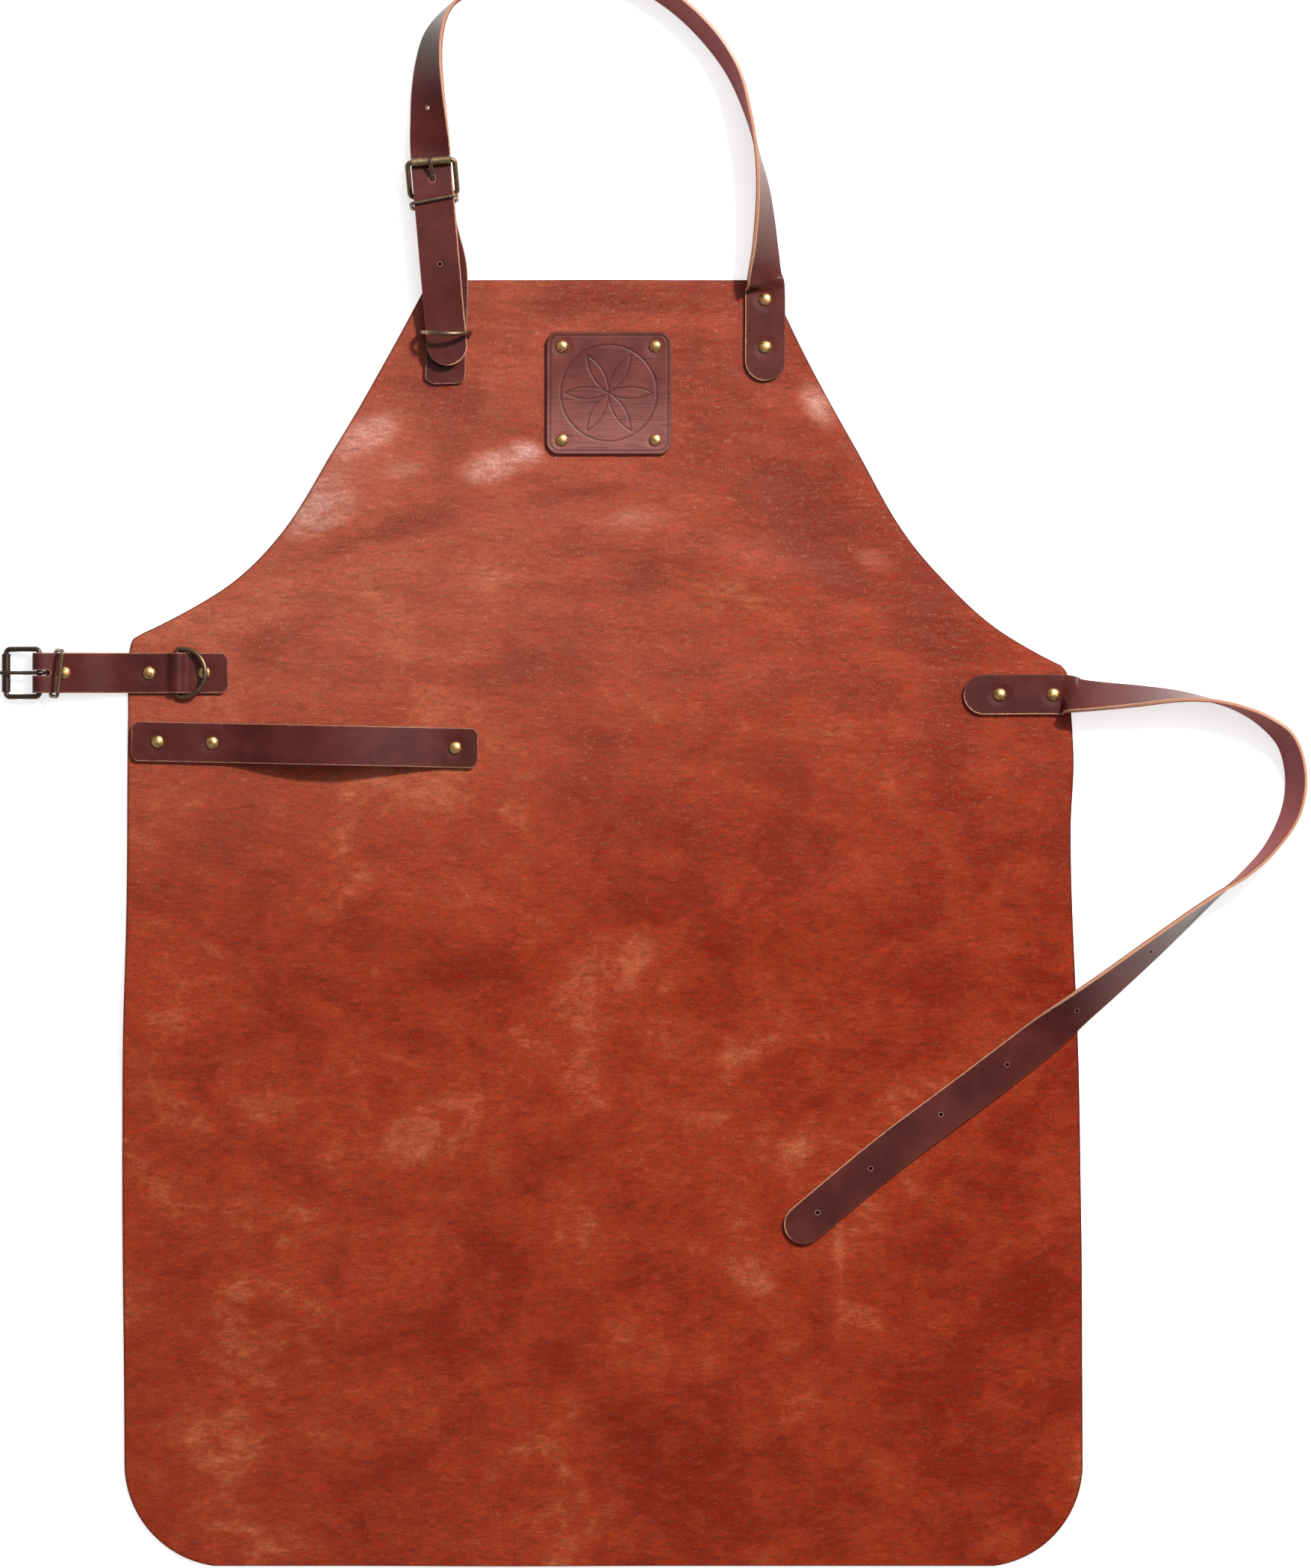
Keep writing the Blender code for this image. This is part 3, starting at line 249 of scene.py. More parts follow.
def table_top():
    """The white table, just under the apron's lowest points."""
    bm = bmesh.new()
    bmesh.ops.create_grid(bm, x_segments=2, y_segments=2, size=TABLE_HALF)
    data = bpy.data.meshes.new("table_top")
    bm.to_mesh(data)
    bm.free()
    data.transform(shifted(0.0, 0.0, -TABLE_GAP))
    made = placed("table_top", data)
    paint = Finish("white_table", 0.75, specular=0.25)
    speckle = paint.clouds(paint.place, 60.0, detail=2.0)
    paint.feed("Base Color", paint.mixed(speckle, (0.84, 0.84, 0.835), (0.86, 0.86, 0.86)))
    paint.shader.inputs["Emission Color"].default_value = (1.0, 1.0, 1.0, 1.0)
    paint.shader.inputs["Emission Strength"].default_value = TABLE_GLOW
    data.materials.append(paint.material)


lit_room()
table_top()

# The sheet of the bib and skirt
# One piece of thick pull-up leather, cut out with a knife: armhole curves, square waist
# corners, round hem corners. It lies on the table in soft waves, with a cloudy cognac dye,
# and painted sheen and painted shade, mostly on its bib.
BODY_WIDTH = 0.600
BODY_LENGTH = 0.805
BODY_LEATHER = 0.0020
HEM_RADIUS = 0.064
WAVE_HEIGHT = 0.0045
RIM_ROUND = 0.0006
SHEET_STEP = 0.0034
SHEET_COLUMNS = 176
HEM_ROWS = 26
SKIRT_CREASE = 0.0005
BIB_CREASE = 0.0016
CREASE_SLANT = 0.16
PRESS_FADE = 0.022
RIM_MARK = 0.03
SHEET_WALL = ((0.0004, 0.05), (0.0006, 0.25), (0.0006, 0.80), (0.0004, 0.96))
EdgeRow = namedtuple("EdgeRow", "drop reach")


def rows_of(kind, *rows):
    """A table whose rows are all of one kind."""
    return tuple(kind(*row) for row in rows)


BIB_LEFT = rows_of(
    EdgeRow,
    (0.000, 0.362), (0.060, 0.449), (0.130, 0.557), (0.200, 0.677), (0.235, 0.771), (0.253, 0.845),
    (0.270, 0.931), (0.2755, 0.963), (0.2775, 0.975), (0.280, 0.9825),
)
BIB_RIGHT = rows_of(
    EdgeRow,
    (0.000, 0.347), (0.060, 0.424), (0.130, 0.526), (0.200, 0.635), (0.235, 0.715), (0.270, 0.817),
    (0.287, 0.889), (0.298, 0.945), (0.3003, 0.958), (0.303, 0.966),
)
SIDE_LEFT = rows_of(
    EdgeRow,
    (0.280, 0.9825), (0.286, 0.987), (0.340, 0.991), (0.479, 0.994), (0.618, 1.002), (0.711, 1.003),
    (0.880, 0.999), (1.000, 0.998),
)
SIDE_RIGHT = rows_of(
    EdgeRow,
    (0.303, 0.966), (0.309, 0.972), (0.339, 0.978), (0.374, 0.983), (0.426, 0.977), (0.618, 0.994),
    (0.800, 1.000), (1.000, 1.003),
)
Wave = namedtuple("Wave", "across drop half_across half_drop turn crest")
WAVES = rows_of(
    Wave,
    (0.02, 0.000, 0.17, 0.036, 0.0, 0.55), (-0.56, 0.150, 0.16, 0.070, 0.0, 1.00),
    (0.52, 0.150, 0.15, 0.070, 0.0, 0.80), (-0.22, 0.205, 0.33, 0.040, 8.0, 0.75),
    (0.30, 0.230, 0.26, 0.040, -14.0, 0.65), (0.20, 0.330, 0.40, 0.045, 5.0, 0.60),
    (-0.36, 0.500, 0.33, 0.060, -6.0, 0.80), (0.40, 0.490, 0.34, 0.055, 10.0, 0.75),
    (-0.98, 0.580, 0.20, 0.080, 0.0, 0.90), (-0.10, 0.660, 0.35, 0.050, 12.0, 0.55),
    (-0.60, 0.800, 0.35, 0.060, 0.0, 0.85), (0.25, 0.880, 0.40, 0.050, -8.0, 0.70),
    (0.98, 0.770, 0.18, 0.080, 0.0, 0.95), (-0.20, 1.000, 0.35, 0.040, 0.0, 0.60),
)
# Lines under which the sheet is pressed flat: the straps, the towel loop and the patch
Pressed = namedtuple("Pressed", "x0 y0 x1 y1 half")
PRESSED = rows_of(
    Pressed,
    (-0.1055, 0.430, -0.100, 0.335, 0.017), (0.1016, 0.420, 0.1016, 0.335, 0.017),
    (-0.020, 0.3316, 0.028, 0.3316, 0.041), (-0.300, 0.1565, -0.232, 0.1565, 0.017),
    (-0.300, 0.1135, -0.075, 0.108, 0.017), (0.225, 0.143, 0.300, 0.143, 0.017),
    (0.300, -0.060, 0.120, -0.187, 0.017),
)
# Spots painted paler or deeper, partly the hide's own tone and partly painted sheen and painted
# shade of its waves: centre, half sizes in mm, turn, and how much paler (+) or deeper (-)
Dab = namedtuple("Dab", "x y half_x half_y turn pull")
DABS = rows_of(
    Dab,
    (-70, 286, 24, 14, 15, 1.0), (-46, 295, 12, 9, -20, 0.9), (-146, 306, 32, 15, 30, 0.8),
    (-180, 258, 34, 26, 35, 1.0), (-124, 284, 22, 9, 10, 0.5), (134, 324, 12, 22, 28, 0.8),
    (21, 253, 34, 14, 8, 0.45), (166, 228, 24, 12, -10, 0.6), (75, 205, 34, 20, 35, 0.35),
    (-140, 244, 70, 11, 16, -1.0), (60, 310, 24, 60, 8, -0.9), (150, 215, 50, 14, -30, -0.6),
    (0, 392, 90, 14, 0, -0.9), (124, 262, 44, 34, -12, -1.0), (85, 345, 20, 26, 0, -0.5),
    (-95, 330, 30, 40, 20, -0.5), (-20, 268, 50, 8, 8, -0.7), (25, 215, 26, 16, 40, -0.7),
    (-80, 215, 60, 16, 8, 0.4), (-190, 190, 40, 20, 20, -0.6), (-60, 160, 90, 14, 10, -0.6),
    (-215, 165, 30, 22, 30, -0.5), (10, 180, 26, 14, -15, 0.45), (163, 187, 20, 26, 0, 0.55),
    (105, 120, 60, 10, -8, 0.40), (240, 100, 26, 34, 0, 0.45), (-130, 100, 60, 30, 10, 0.35),
    (18, -20, 56, 22, 28, 0.40), (-15, -64, 14, 32, 8, 0.55), (93, -84, 32, 13, 10, 0.55),
    (126, -138, 24, 13, 30, 0.8), (97, -226, 22, 22, 0, 1.0), (148, -205, 5, 60, 2, 0.7),
    (174, -192, 36, 5, 0, 0.6), (-232, -118, 50, 18, 5, 0.30), (-155, -195, 60, 14, -15, 0.25),
    (-242, -320, 40, 30, 20, 0.25), (-60, -300, 60, 30, 0, 0.30), (92, -184, 40, 30, 20, 0.50),
    (209, -43, 40, 55, 0, -0.7), (209, -284, 66, 60, 0, -0.6), (184, -97, 30, 34, 0, -0.6),
    (0, -120, 26, 40, 10, -0.6), (-90, -30, 50, 26, 12, -0.45), (60, -330, 40, 30, 0, -0.35),
    (-250, 40, 26, 50, 0, -0.35),
)


def eased(xs, ys, at, steady=False):
    """Smooth curve through rows (xs, ys), read at some places; steady never overshoots."""
    xs, ys = np.asarray(xs, float), np.asarray(ys, float)
    rises = np.diff(ys) / np.diff(xs)
    slopes = np.concatenate([rises[:1], (rises[:-1] + rises[1:]) / 2, rises[-1:]])
    if steady:
        before, after = rises[:-1], rises[1:]
        same_way = before * after > 0
        total = np.where(same_way, before + after, 1.0)
        slopes[1:-1] = np.where(same_way, 2 * before * after / total, 0.0)
    at = np.clip(at, xs[0], xs[-1])
    row = np.clip(np.searchsorted(xs, at, side="right") - 1, 0, len(xs) - 2)
    step = xs[row + 1] - xs[row]
    t = (at - xs[row]) / step
    keep = (1 + 2 * t) * (1 - t) ** 2
    leave = t * (1 - t) ** 2 * step
    arrive = t**2 * (t - 1) * step
    return (
        keep * ys[row] + (1 - keep) * ys[row + 1] + leave * slopes[row] + arrive * slopes[row + 1]
    )


def soft_rise(value, low, high):
    """0 below low, 1 above high, and a soft S between."""
    share = np.clip((value - low) / (high - low), 0.0, 1.0)
    return share * share * (3 - 2 * share)


def side_reach(drop, bib, side):
    """How far the sheet reaches from its centre line at these drops."""
    upper = eased([r.drop for r in bib], [r.reach for r in bib], drop)
    lower = eased([r.drop for r in side], [r.reach for r in side], drop)
    reach = np.where(drop <= bib[-1].drop, upper, lower) * BODY_WIDTH / 2
    into_hem = np.clip(HEM_RADIUS - (1 - drop) * BODY_LENGTH, 0.0, HEM_RADIUS)
    return reach - (HEM_RADIUS - np.sqrt(HEM_RADIUS**2 - into_hem**2))


def wave_height(x, y):
    """Height of the sheet's underside over the table."""
    height = np.zeros_like(x)
    for wave in WAVES:
        dx = x - wave.across * BODY_WIDTH / 2
        dy = y - (0.5 - wave.drop) * BODY_LENGTH
        turn = radians(wave.turn)
        along = (dx * cos(turn) + dy * sin(turn)) / (wave.half_across * BODY_WIDTH / 2)
        over = (dy * cos(turn) - dx * sin(turn)) / (wave.half_drop * BODY_LENGTH)
        distance = np.minimum(np.hypot(along, over), 1.0)
        height += wave.crest * WAVE_HEIGHT * np.cos(np.pi / 2 * distance) ** 2
    return height


def free_of_straps(x, y):
    """0 where something presses the sheet flat, 1 where it is free to crease."""
    free = np.ones_like(x)
    for line in PRESSED:
        start, run = np.array([line.x0, line.y0]), np.array([line.x1 - line.x0, line.y1 - line.y0])
        share = np.clip(((x - start[0]) * run[0] + (y - start[1]) * run[1]) / run.dot(run), 0, 1)
        far = np.hypot(x - start[0] - share * run[0], y - start[1] - share * run[1])
        free = np.minimum(free, soft_rise(far, line.half, line.half + PRESS_FADE))
    return free


def creases(x, y):
    """Small folds of the hide: long soft ones across the bib, weaker ones on the skirt."""
    flat = np.empty(x.size)
    for k, (px, py) in enumerate(zip(x.ravel(), y.ravel())):
        along, over = px + CREASE_SLANT * py, py - CREASE_SLANT * px
        long_fold = noise.noise(Vector((along * 9.0, over * 31.0, 0.7)))
        short_fold = noise.noise(Vector((px * 38.0, py * 64.0, 4.2)))
        flat[k] = 0.75 * long_fold + 0.25 * short_fold
    high = SKIRT_CREASE + (BIB_CREASE - SKIRT_CREASE) * soft_rise(y, 0.02, 0.26)
    return (flat.reshape(x.shape) * 0.5 + 0.5) * high * free_of_straps(x, y)


def worked(x, y):
    """How much paler (up to 1) or deeper (down to -1) these spots are: tone, painted sheen, painted
    shade.
    """
    share = np.zeros_like(x)
    for dab in DABS:
        turn = radians(dab.turn)
        dx, dy = x - dab.x / 1000, y - dab.y / 1000
        along = (dx * cos(turn) + dy * sin(turn)) / (dab.half_x / 1000)
        over = (dy * cos(turn) - dx * sin(turn)) / (dab.half_y / 1000)
        share += dab.pull * np.exp(-1.6 * (along**2 + over**2))
    return np.clip(share, -1.0, 1.0)


def sheet_rows():
    """The rows of the sheet from top to hem, as distances from the top."""
    straight = BODY_LENGTH - HEM_RADIUS
    count = round(straight / SHEET_STEP)
    rows = [RIM_ROUND + (straight - RIM_ROUND) * k / count for k in range(count + 1)]
    last = asin(1 - RIM_ROUND / HEM_RADIUS)
    turns = [last * k / HEM_ROWS for k in range(1, HEM_ROWS + 1)]
    return np.array(rows + [BODY_LENGTH - (1 - sin(a)) * HEM_RADIUS for a in turns])


def joined(name, points, faces, marks=None):
    """A mesh object from points and faces, with a number per point for each mark."""
    data = bpy.data.meshes.new(name)
    data.from_pydata([tuple(p) for p in points], [], faces)
    for mark, numbers in (marks or {}).items():
        kind = "FLOAT_VECTOR" if np.ndim(numbers) == 2 else "FLOAT"
        layer = data.attributes.new(mark, kind, "POINT")
        layer.data.foreach_set("vector" if kind == "FLOAT_VECTOR" else "value", np.ravel(numbers))
    return placed(name, data)


def walled(name, top, bottom, wall, marks):
    """A closed leather piece: a grid on top, the same below, and a rounded wall between.

    wall gives rings of the edge as (outward, share of the way down) from top to bottom.
    """
    rows, columns = top.shape[:2]
    index = np.arange(rows * columns).reshape(rows, columns)
    loop = np.concatenate([index[0, :-1], index[:-1, -1], index[-1, :0:-1], index[:0:-1, 0]])
    points = [top.reshape(-1, 3), bottom.reshape(-1, 3)]
    rim_top, rim_bottom = points[0][loop], points[1][loop]
    along = np.roll(rim_top, -1, axis=0) - np.roll(rim_top, 1, axis=0)
    outward = np.stack([-along[:, 1], along[:, 0], np.zeros(len(loop))], axis=1)
    outward /= np.linalg.norm(outward, axis=1)[:, None]
    quads = np.stack([index[:-1, :-1], index[1:, :-1], index[1:, 1:], index[:-1, 1:]], axis=-1)
    faces = quads.reshape(-1, 4)
    start = rows * columns
    faces = [faces, faces[:, ::-1] + start]
    rings = [loop]
    offset = 2 * start
    for out, down in wall:
        points.append(rim_top + (rim_bottom - rim_top) * down + outward * out)
        rings.append(np.arange(offset, offset + len(loop)))
        offset += len(loop)
    rings.append(loop + start)
    for upper, lower in zip(rings, rings[1:]):
        faces.append(np.stack([upper, np.roll(upper, -1), np.roll(lower, -1), lower], axis=1))
    filled = {}
    for mark, (on_top, on_wall, below) in marks.items():
        sides = [np.full(len(loop), share) for share in on_wall]
        filled[mark] = np.concatenate([np.ravel(on_top), np.ravel(below), *sides])
    return joined(name, np.concatenate(points), np.concatenate(faces).tolist(), filled)


def sheet_leather():
    """The cut sheet, its flat area, and marks for its flesh side and its cut edge."""
    drops = sheet_rows()
    left = -side_reach(drops / BODY_LENGTH, BIB_LEFT, SIDE_LEFT) + RIM_ROUND
    right = side_reach(drops / BODY_LENGTH, BIB_RIGHT, SIDE_RIGHT) - RIM_ROUND
    share = np.linspace(0.0, 1.0, SHEET_COLUMNS + 1)
    x = left[:, None] + (right - left)[:, None] * share
    y = np.repeat((BODY_LENGTH / 2 - drops)[:, None], SHEET_COLUMNS + 1, axis=1)
    lie = wave_height(x, y) + creases(x, y)
    area = float(np.trapz(right - left + 2 * RIM_ROUND, drops))
    from_edge = np.minimum(np.minimum(x - left[:, None], right[:, None] - x), RIM_MARK)
    from_edge = np.minimum(from_edge, np.minimum(y + BODY_LENGTH / 2, BODY_LENGTH / 2 - y))
    marks = {
        "flesh": (np.zeros_like(x), (0.0, 0.3, 0.8, 1.0), np.ones_like(x)),
        "rim": (from_edge, (-0.0002, -0.0006, -0.0006, -0.0002), from_edge),
        "worked": (worked(x, y), (0.0, 0.0, 0.0, 0.0), np.zeros_like(x)),
    }
    top = np.stack([x, y, lie + BODY_LEATHER], axis=-1)
    bottom = np.stack([x, y, lie], axis=-1)
    return walled("apron_sheet", top, bottom, SHEET_WALL, marks), area


class Shape(Nodes):
    """A Geometry Nodes tree with named inputs, made to finish pieces of the apron."""

    def __init__(self, name, **inputs):
        super().__init__(bpy.data.node_groups.new(name, "GeometryNodeTree"))
        for side in ("INPUT", "OUTPUT"):
            self.socket("Geometry", side, "Geometry")
        for label, kind in inputs.items():
            self.socket(label, "INPUT", kind)
        self.entry = self.tree.nodes.new("NodeGroupInput")

    def socket(self, label, side, kind):
        """A named input or output of the tree."""
        self.tree.interface.new_socket(label, in_out=side, socket_type="NodeSocket" + kind)

    def geo(self, kind, *given, **more):
        """Adds a Geometry Nodes node."""
        return self.node("GeometryNode" + kind, *given, **more)

    def given(self, label="Geometry"):
        """One of the tree's inputs."""
        return Link(self, self.entry.outputs[label])

    def read(self, name, kind="FLOAT"):
        """A mark stored on the points."""
        return self.geo("InputNamedAttribute", {"data_type": kind}, {"Name": name})

    def noted(self, geometry, name, value):
        """Stores a mark on the points."""
        return self.geo(
            "StoreNamedAttribute",
            {"data_type": "FLOAT", "domain": "POINT"},
            {"Geometry": geometry, "Name": name, "Value": value},
        )

    def ends(self, geometry):
        """Realizes the instances and sets the finish that was given."""
        real = self.geo("RealizeInstances", {}, {"Geometry": geometry})
        dressed = self.geo("SetMaterial", {}, {"Geometry": real, "Material": self.given("Finish")})
        self.tree.links.new(dressed.socket, self.tree.nodes.new("NodeGroupOutput").inputs[0])

    def on(self, piece, **values):
        """Puts the tree on a piece, with its inputs set by their identifiers."""
        modifier = piece.modifiers.new(self.tree.name, "NODES")
        modifier.node_group = self.tree
        for item in self.tree.interface.items_tree:
            if item.in_out == "INPUT" and item.name in values:
                modifier[item.identifier] = values[item.name]


def made_plain(piece, name, sharp=40.0):
    """Turns a piece's modifiers into a plain mesh and shades it smooth between sharp edges."""
    bpy.context.view_layer.update()
    graph = bpy.context.evaluated_depsgraph_get()
    data = bpy.data.meshes.new_from_object(piece.evaluated_get(graph), depsgraph=graph)
    data.name = name
    bpy.data.objects.remove(piece)
    data.shade_smooth()
    data.set_sharp_from_angle(angle=radians(sharp))
    return placed(name, data)


def turned(rings, profile, sides, place=(0.0, 0.0, 0.0)):
    """Adds a closed body turned about Z to a list of (points, faces)."""
    points, faces = rings
    rows = []
    for radius, height in profile:
        count = sides if radius > 0 else 1
        rows.append(range(len(points), len(points) + count))
        for k in range(count):
            angle = tau * k / count
            x, y = radius * cos(angle), radius * sin(angle)
            points.append((place[0] + x, place[1] + y, place[2] + height))
    for low, high in zip(rows, rows[1:]):
        for k in range(sides):
            after = (k + 1) % sides
            corners = (low[k % len(low)], low[after % len(low)])
            corners += (high[after % len(high)], high[k % len(high)])
            faces.append(tuple(dict.fromkeys(corners)))
    return rings


RIVET_POST_RADIUS = 0.0015
RIVET_BACK_RADIUS = 0.0040
RIVET_BACK_THICKNESS = 0.0008
RIVET_CAP_HEIGHT = 0.0020
CAP_SINK = 0.0002
CLEARANCE = 0.0003
RIVETS = [f"patch_rivet_{k}" for k in (1, 2, 3, 4)]
RIVETS += [f"loop_rivet_{k}" for k in (1, 2, 3)]
RIVETS += [f"{side}_rivet_{k}" for side in ("neck", "waist") for k in (1, 2)]
RIVETS += [f"{side}_buckle_rivet_{k}" for side in ("neck", "waist") for k in (1, 2, 3)]
RivetSpot = namedtuple("RivetSpot", "x y foot stack cap")


def rivet_spots():
    """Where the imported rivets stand: their backs, the leather's top and their caps' size."""
    spots = []
    for name in RIVETS:
        low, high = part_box(name)
        cap = (high.x - low.x) / 2
        stack = high.z - RIVET_CAP_HEIGHT - CLEARANCE
        spots.append(RivetSpot((low.x + high.x) / 2, (low.y + high.y) / 2, low.z, stack, cap))
    return spots


def rivet_bores(spots):
    """The rivets' holes with the hollows that their backs press into the flesh side."""
    rings = ([], [])
    hole, hollow = RIVET_POST_RADIUS + CLEARANCE, RIVET_BACK_RADIUS + CLEARANCE
    for spot in spots:
        low = spot.foot - RIVET_BACK_THICKNESS
        step = spot.foot + RIVET_BACK_THICKNESS + CLEARANCE
        high = spot.stack + RIVET_BACK_THICKNESS
        profile = [(0.0, low), (hollow, low), (hollow, step)]
        profile += [(hole, step), (hole, high), (0.0, high)]
        turned(rings, profile, 24, (spot.x, spot.y, 0.0))
    return joined("rivet_bores", *rings)


def punching():
    """A tree that punches bores through leather and hands its marks on to the cut piece."""
    shape = Shape("punched_leather", Bores="Object", Finish="Material")
    whole = shape.given()
    info = {"transform_space": "RELATIVE"}
    bores = shape.geo("ObjectInfo", info, {"Object": shape.given("Bores")})
    bores = bores.other("Geometry")
    cut = shape.geo(
        "MeshBoolean",
        {"operation": "DIFFERENCE", "solver": "EXACT"},
        {"Mesh 1": whole, "Mesh 2": bores},
    )
    place = shape.geo("InputPosition")
    for mark in ("flesh", "rim", "side", "worked"):
        value = shape.geo(
            "SampleNearestSurface",
            {"data_type": "FLOAT"},
            {"Mesh": whole, "Value": shape.read(mark), "Sample Position": place},
        )
        cut = shape.noted(cut, mark, value)
    near = shape.geo(
        "Proximity",
        {"target_element": "FACES"},
        {0: bores, "Sample Position": place},
        out="Distance",
    )
    cut = shape.noted(cut, "hole", near)
    shape.ends(cut)
    return shape


def cognac_leather():
    """Pull-up leather: cloudy cognac dye, painted sheen and shade, fine creased grain, a waxy coat,
    a dark cut edge.
    """
    finish = Finish("cognac_leather", 0.46, coat_roughness=0.34, specular=0.08)
    place = finish.place
    broad = finish.streaks(12.0, (7.0, 5.0, 6.0), detail=3.0, rough=0.6)
    patches = finish.streaks(-20.0, (19.0, 26.0, 17.0), detail=6.0, rough=0.66, swirl=0.5)
    mottle = finish.streaks(14.0, (70.0, 115.0, 80.0), detail=6.0, rough=0.68, swirl=0.8)
    fibres = finish.streaks(6.0, (190.0, 560.0, 300.0), detail=4.0, rough=0.6, swirl=0.6)
    veins = finish.streaks(10.0, (170.0, 330.0, 250.0), detail=4.0, rough=0.6, swirl=1.6)
    grain = abs(veins - 0.5).within(0.050, 0.004)
    parts = finish.node("ShaderNodeSeparateXYZ", {}, {0: place}, out="Y")
    bib = parts.within(-0.06, 0.24)
    leftward = parts.other("X").within(0.28, -0.28)
    dab_tone_light_share = finish.marked("worked")
    # The dye's tone: random clouds, the dabbed spots and a paler left side; the dabs and the paler
    # left side are partly painted sheen and painted shade.
    pull = dab_tone_light_share * 0.21 + (patches - 0.5) * 0.85 + (mottle - 0.5) * (0.52 - bib * 0.22)
    pull = pull + (broad - 0.5) * 0.85 + (leftward - 0.5) * 0.11

    dye = finish.mixed(pull.within(-0.20, 0.06), (0.180, 0.0098, 0.0014), (0.262, 0.0242, 0.0056))
    dye = finish.mixed(pull.within(0.02, 0.34) * 0.80, dye, (0.392, 0.084, 0.030))
    # Painted sheen: whitish spots high on the bib, standing in for light mirrored by the waxed
    # face.
    painted_sheen = dab_tone_light_share.within(0.12, 1.0) * parts.within(0.19, 0.27)
    # Painted sky sheen: the bib and the left side made pinker, as the sky's reflection would.
    painted_sky_sheen = (bib * 0.24 + leftward * 0.16 + bib * leftward * 0.26 + painted_sheen * 0.5).within(0.0, 1.0)
    dye = finish.mixed(painted_sky_sheen, dye, (0.350, 0.082, 0.047))
    # Painted shade: deeper red on the bib where its waves turn away from the light.
    painted_shade = dab_tone_light_share * 0.28 + (patches - 0.5) * 0.45 + (broad - 0.5) * 0.6
    painted_shade = painted_shade.within(0.03, -0.26) * bib
    dye = finish.mixed(painted_shade * 0.80, dye, (0.185, 0.0240, 0.0135))
    pale = pull.within(0.08, 0.42) * (fibres.within(0.34, 0.66) * 0.8 + 0.2)
    dye = finish.mixed(pale * (bib * 0.22 + 0.26), dye, (0.560, 0.190, 0.105))
    # The painted sheen's whitish highlight.
    dye = finish.mixed(painted_sheen * mottle.within(0.26, 0.66) * 0.60, dye, (0.660, 0.370, 0.310))
    dye = finish.mixed(grain * (bib * 0.16 + 0.08 + pale * 0.3), dye, (0.600, 0.250, 0.150))
    dye = finish.mixed(veins.within(0.60, 0.80) * 0.07, dye, (0.120, 0.012, 0.004))
    # The cut edge painted dark: partly its own colour, partly painted shade along the edge.
    edge = finish.marked("rim").within(0.0010, 0.0002)
    dye = finish.mixed(edge * 0.6, dye, (0.060, 0.016, 0.009))
    nap = finish.clouds(place, 900.0, detail=3.0, rough=0.7)
    suede = finish.mixed(nap, (0.17, 0.062, 0.030), (0.33, 0.15, 0.085))
    finish.feed("Base Color", finish.mixed(finish.marked("flesh").within(0.5, 0.9), dye, suede))

    finish.feed("Coat Weight", (bib * 0.10 + painted_sheen * 0.55) * (1.0 - finish.marked("flesh")))
    finish.feed("Roughness", 0.47 - painted_sheen * 0.08 + broad * 0.06 + finish.marked("flesh") * 0.4)
    swell = finish.streaks(13.0, (16.0, 42.0, 30.0), detail=3.0, rough=0.5)
    relief = grain * 0.45 + fibres * 0.35 + mottle * 0.7 + swell * (3.0 + bib * 10.0)
    finish.feed("Normal", finish.raised(relief, 0.00046, 1.0))
    return finish.material


spots = rivet_spots()
bores = rivet_bores(spots)
punched = punching()
sheet, sheet_area = sheet_leather()
punched.on(sheet, Bores=bores, Finish=cognac_leather())
apron_sheet = made_plain(sheet, "apron_sheet")
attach(apron_sheet, "apron")
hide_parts("apron_body")

# The patch on the bib
# A square of firm vegetable-tanned leather with round corners and a creased border, pressed
# with a plain compass rosette, and held by a rivet in each corner.
PATCH_CORNER = 0.0080
PATCH_BEVEL = 0.0006
PATCH_STEP = 0.00042
PATCH_COLUMNS = 180
PATCH_WALL = ((0.0003, 0.03), (0.0006, 0.16), (0.0006, 0.90), (0.0004, 0.98))
BORDER_INSET = 0.0022
BORDER_WIDTH = 0.00055
ROSETTE_RADIUS = 0.0273
ROSETTE_LINE = 0.00042
ROSETTE_GAP = 0.0028
PRESS_DEPTH = 0.00038
RIVET_DIMPLE = 0.00045


def round_square(x, y, half_x, half_y, corner):
    """Distance from the outline of a rectangle with round corners, positive inside."""
    qx, qy = np.abs(x) - half_x + corner, np.abs(y) - half_y + corner
    outside = np.hypot(np.maximum(qx, 0), np.maximum(qy, 0))
    return corner - outside - np.minimum(np.maximum(qx, qy), 0)


def pressed_line(far, width):
    """A groove of some width where far is 0."""
    return np.exp(-((far / width) ** 2))


def rosette(x, y):
    """Six petals drawn with one compass opening, in a ring: the press's plain mark."""
    radius = np.hypot(x, y)
    lines = pressed_line(radius - ROSETTE_RADIUS - ROSETTE_GAP, ROSETTE_LINE * 1.3)
    for k in range(6):
        angle = tau * k / 6
        cx, cy = ROSETTE_RADIUS * cos(angle), ROSETTE_RADIUS * sin(angle)
        arc = pressed_line(np.hypot(x - cx, y - cy) - ROSETTE_RADIUS, ROSETTE_LINE)
        lines = np.maximum(lines, arc * (radius < ROSETTE_RADIUS + 0.0003))
    return lines


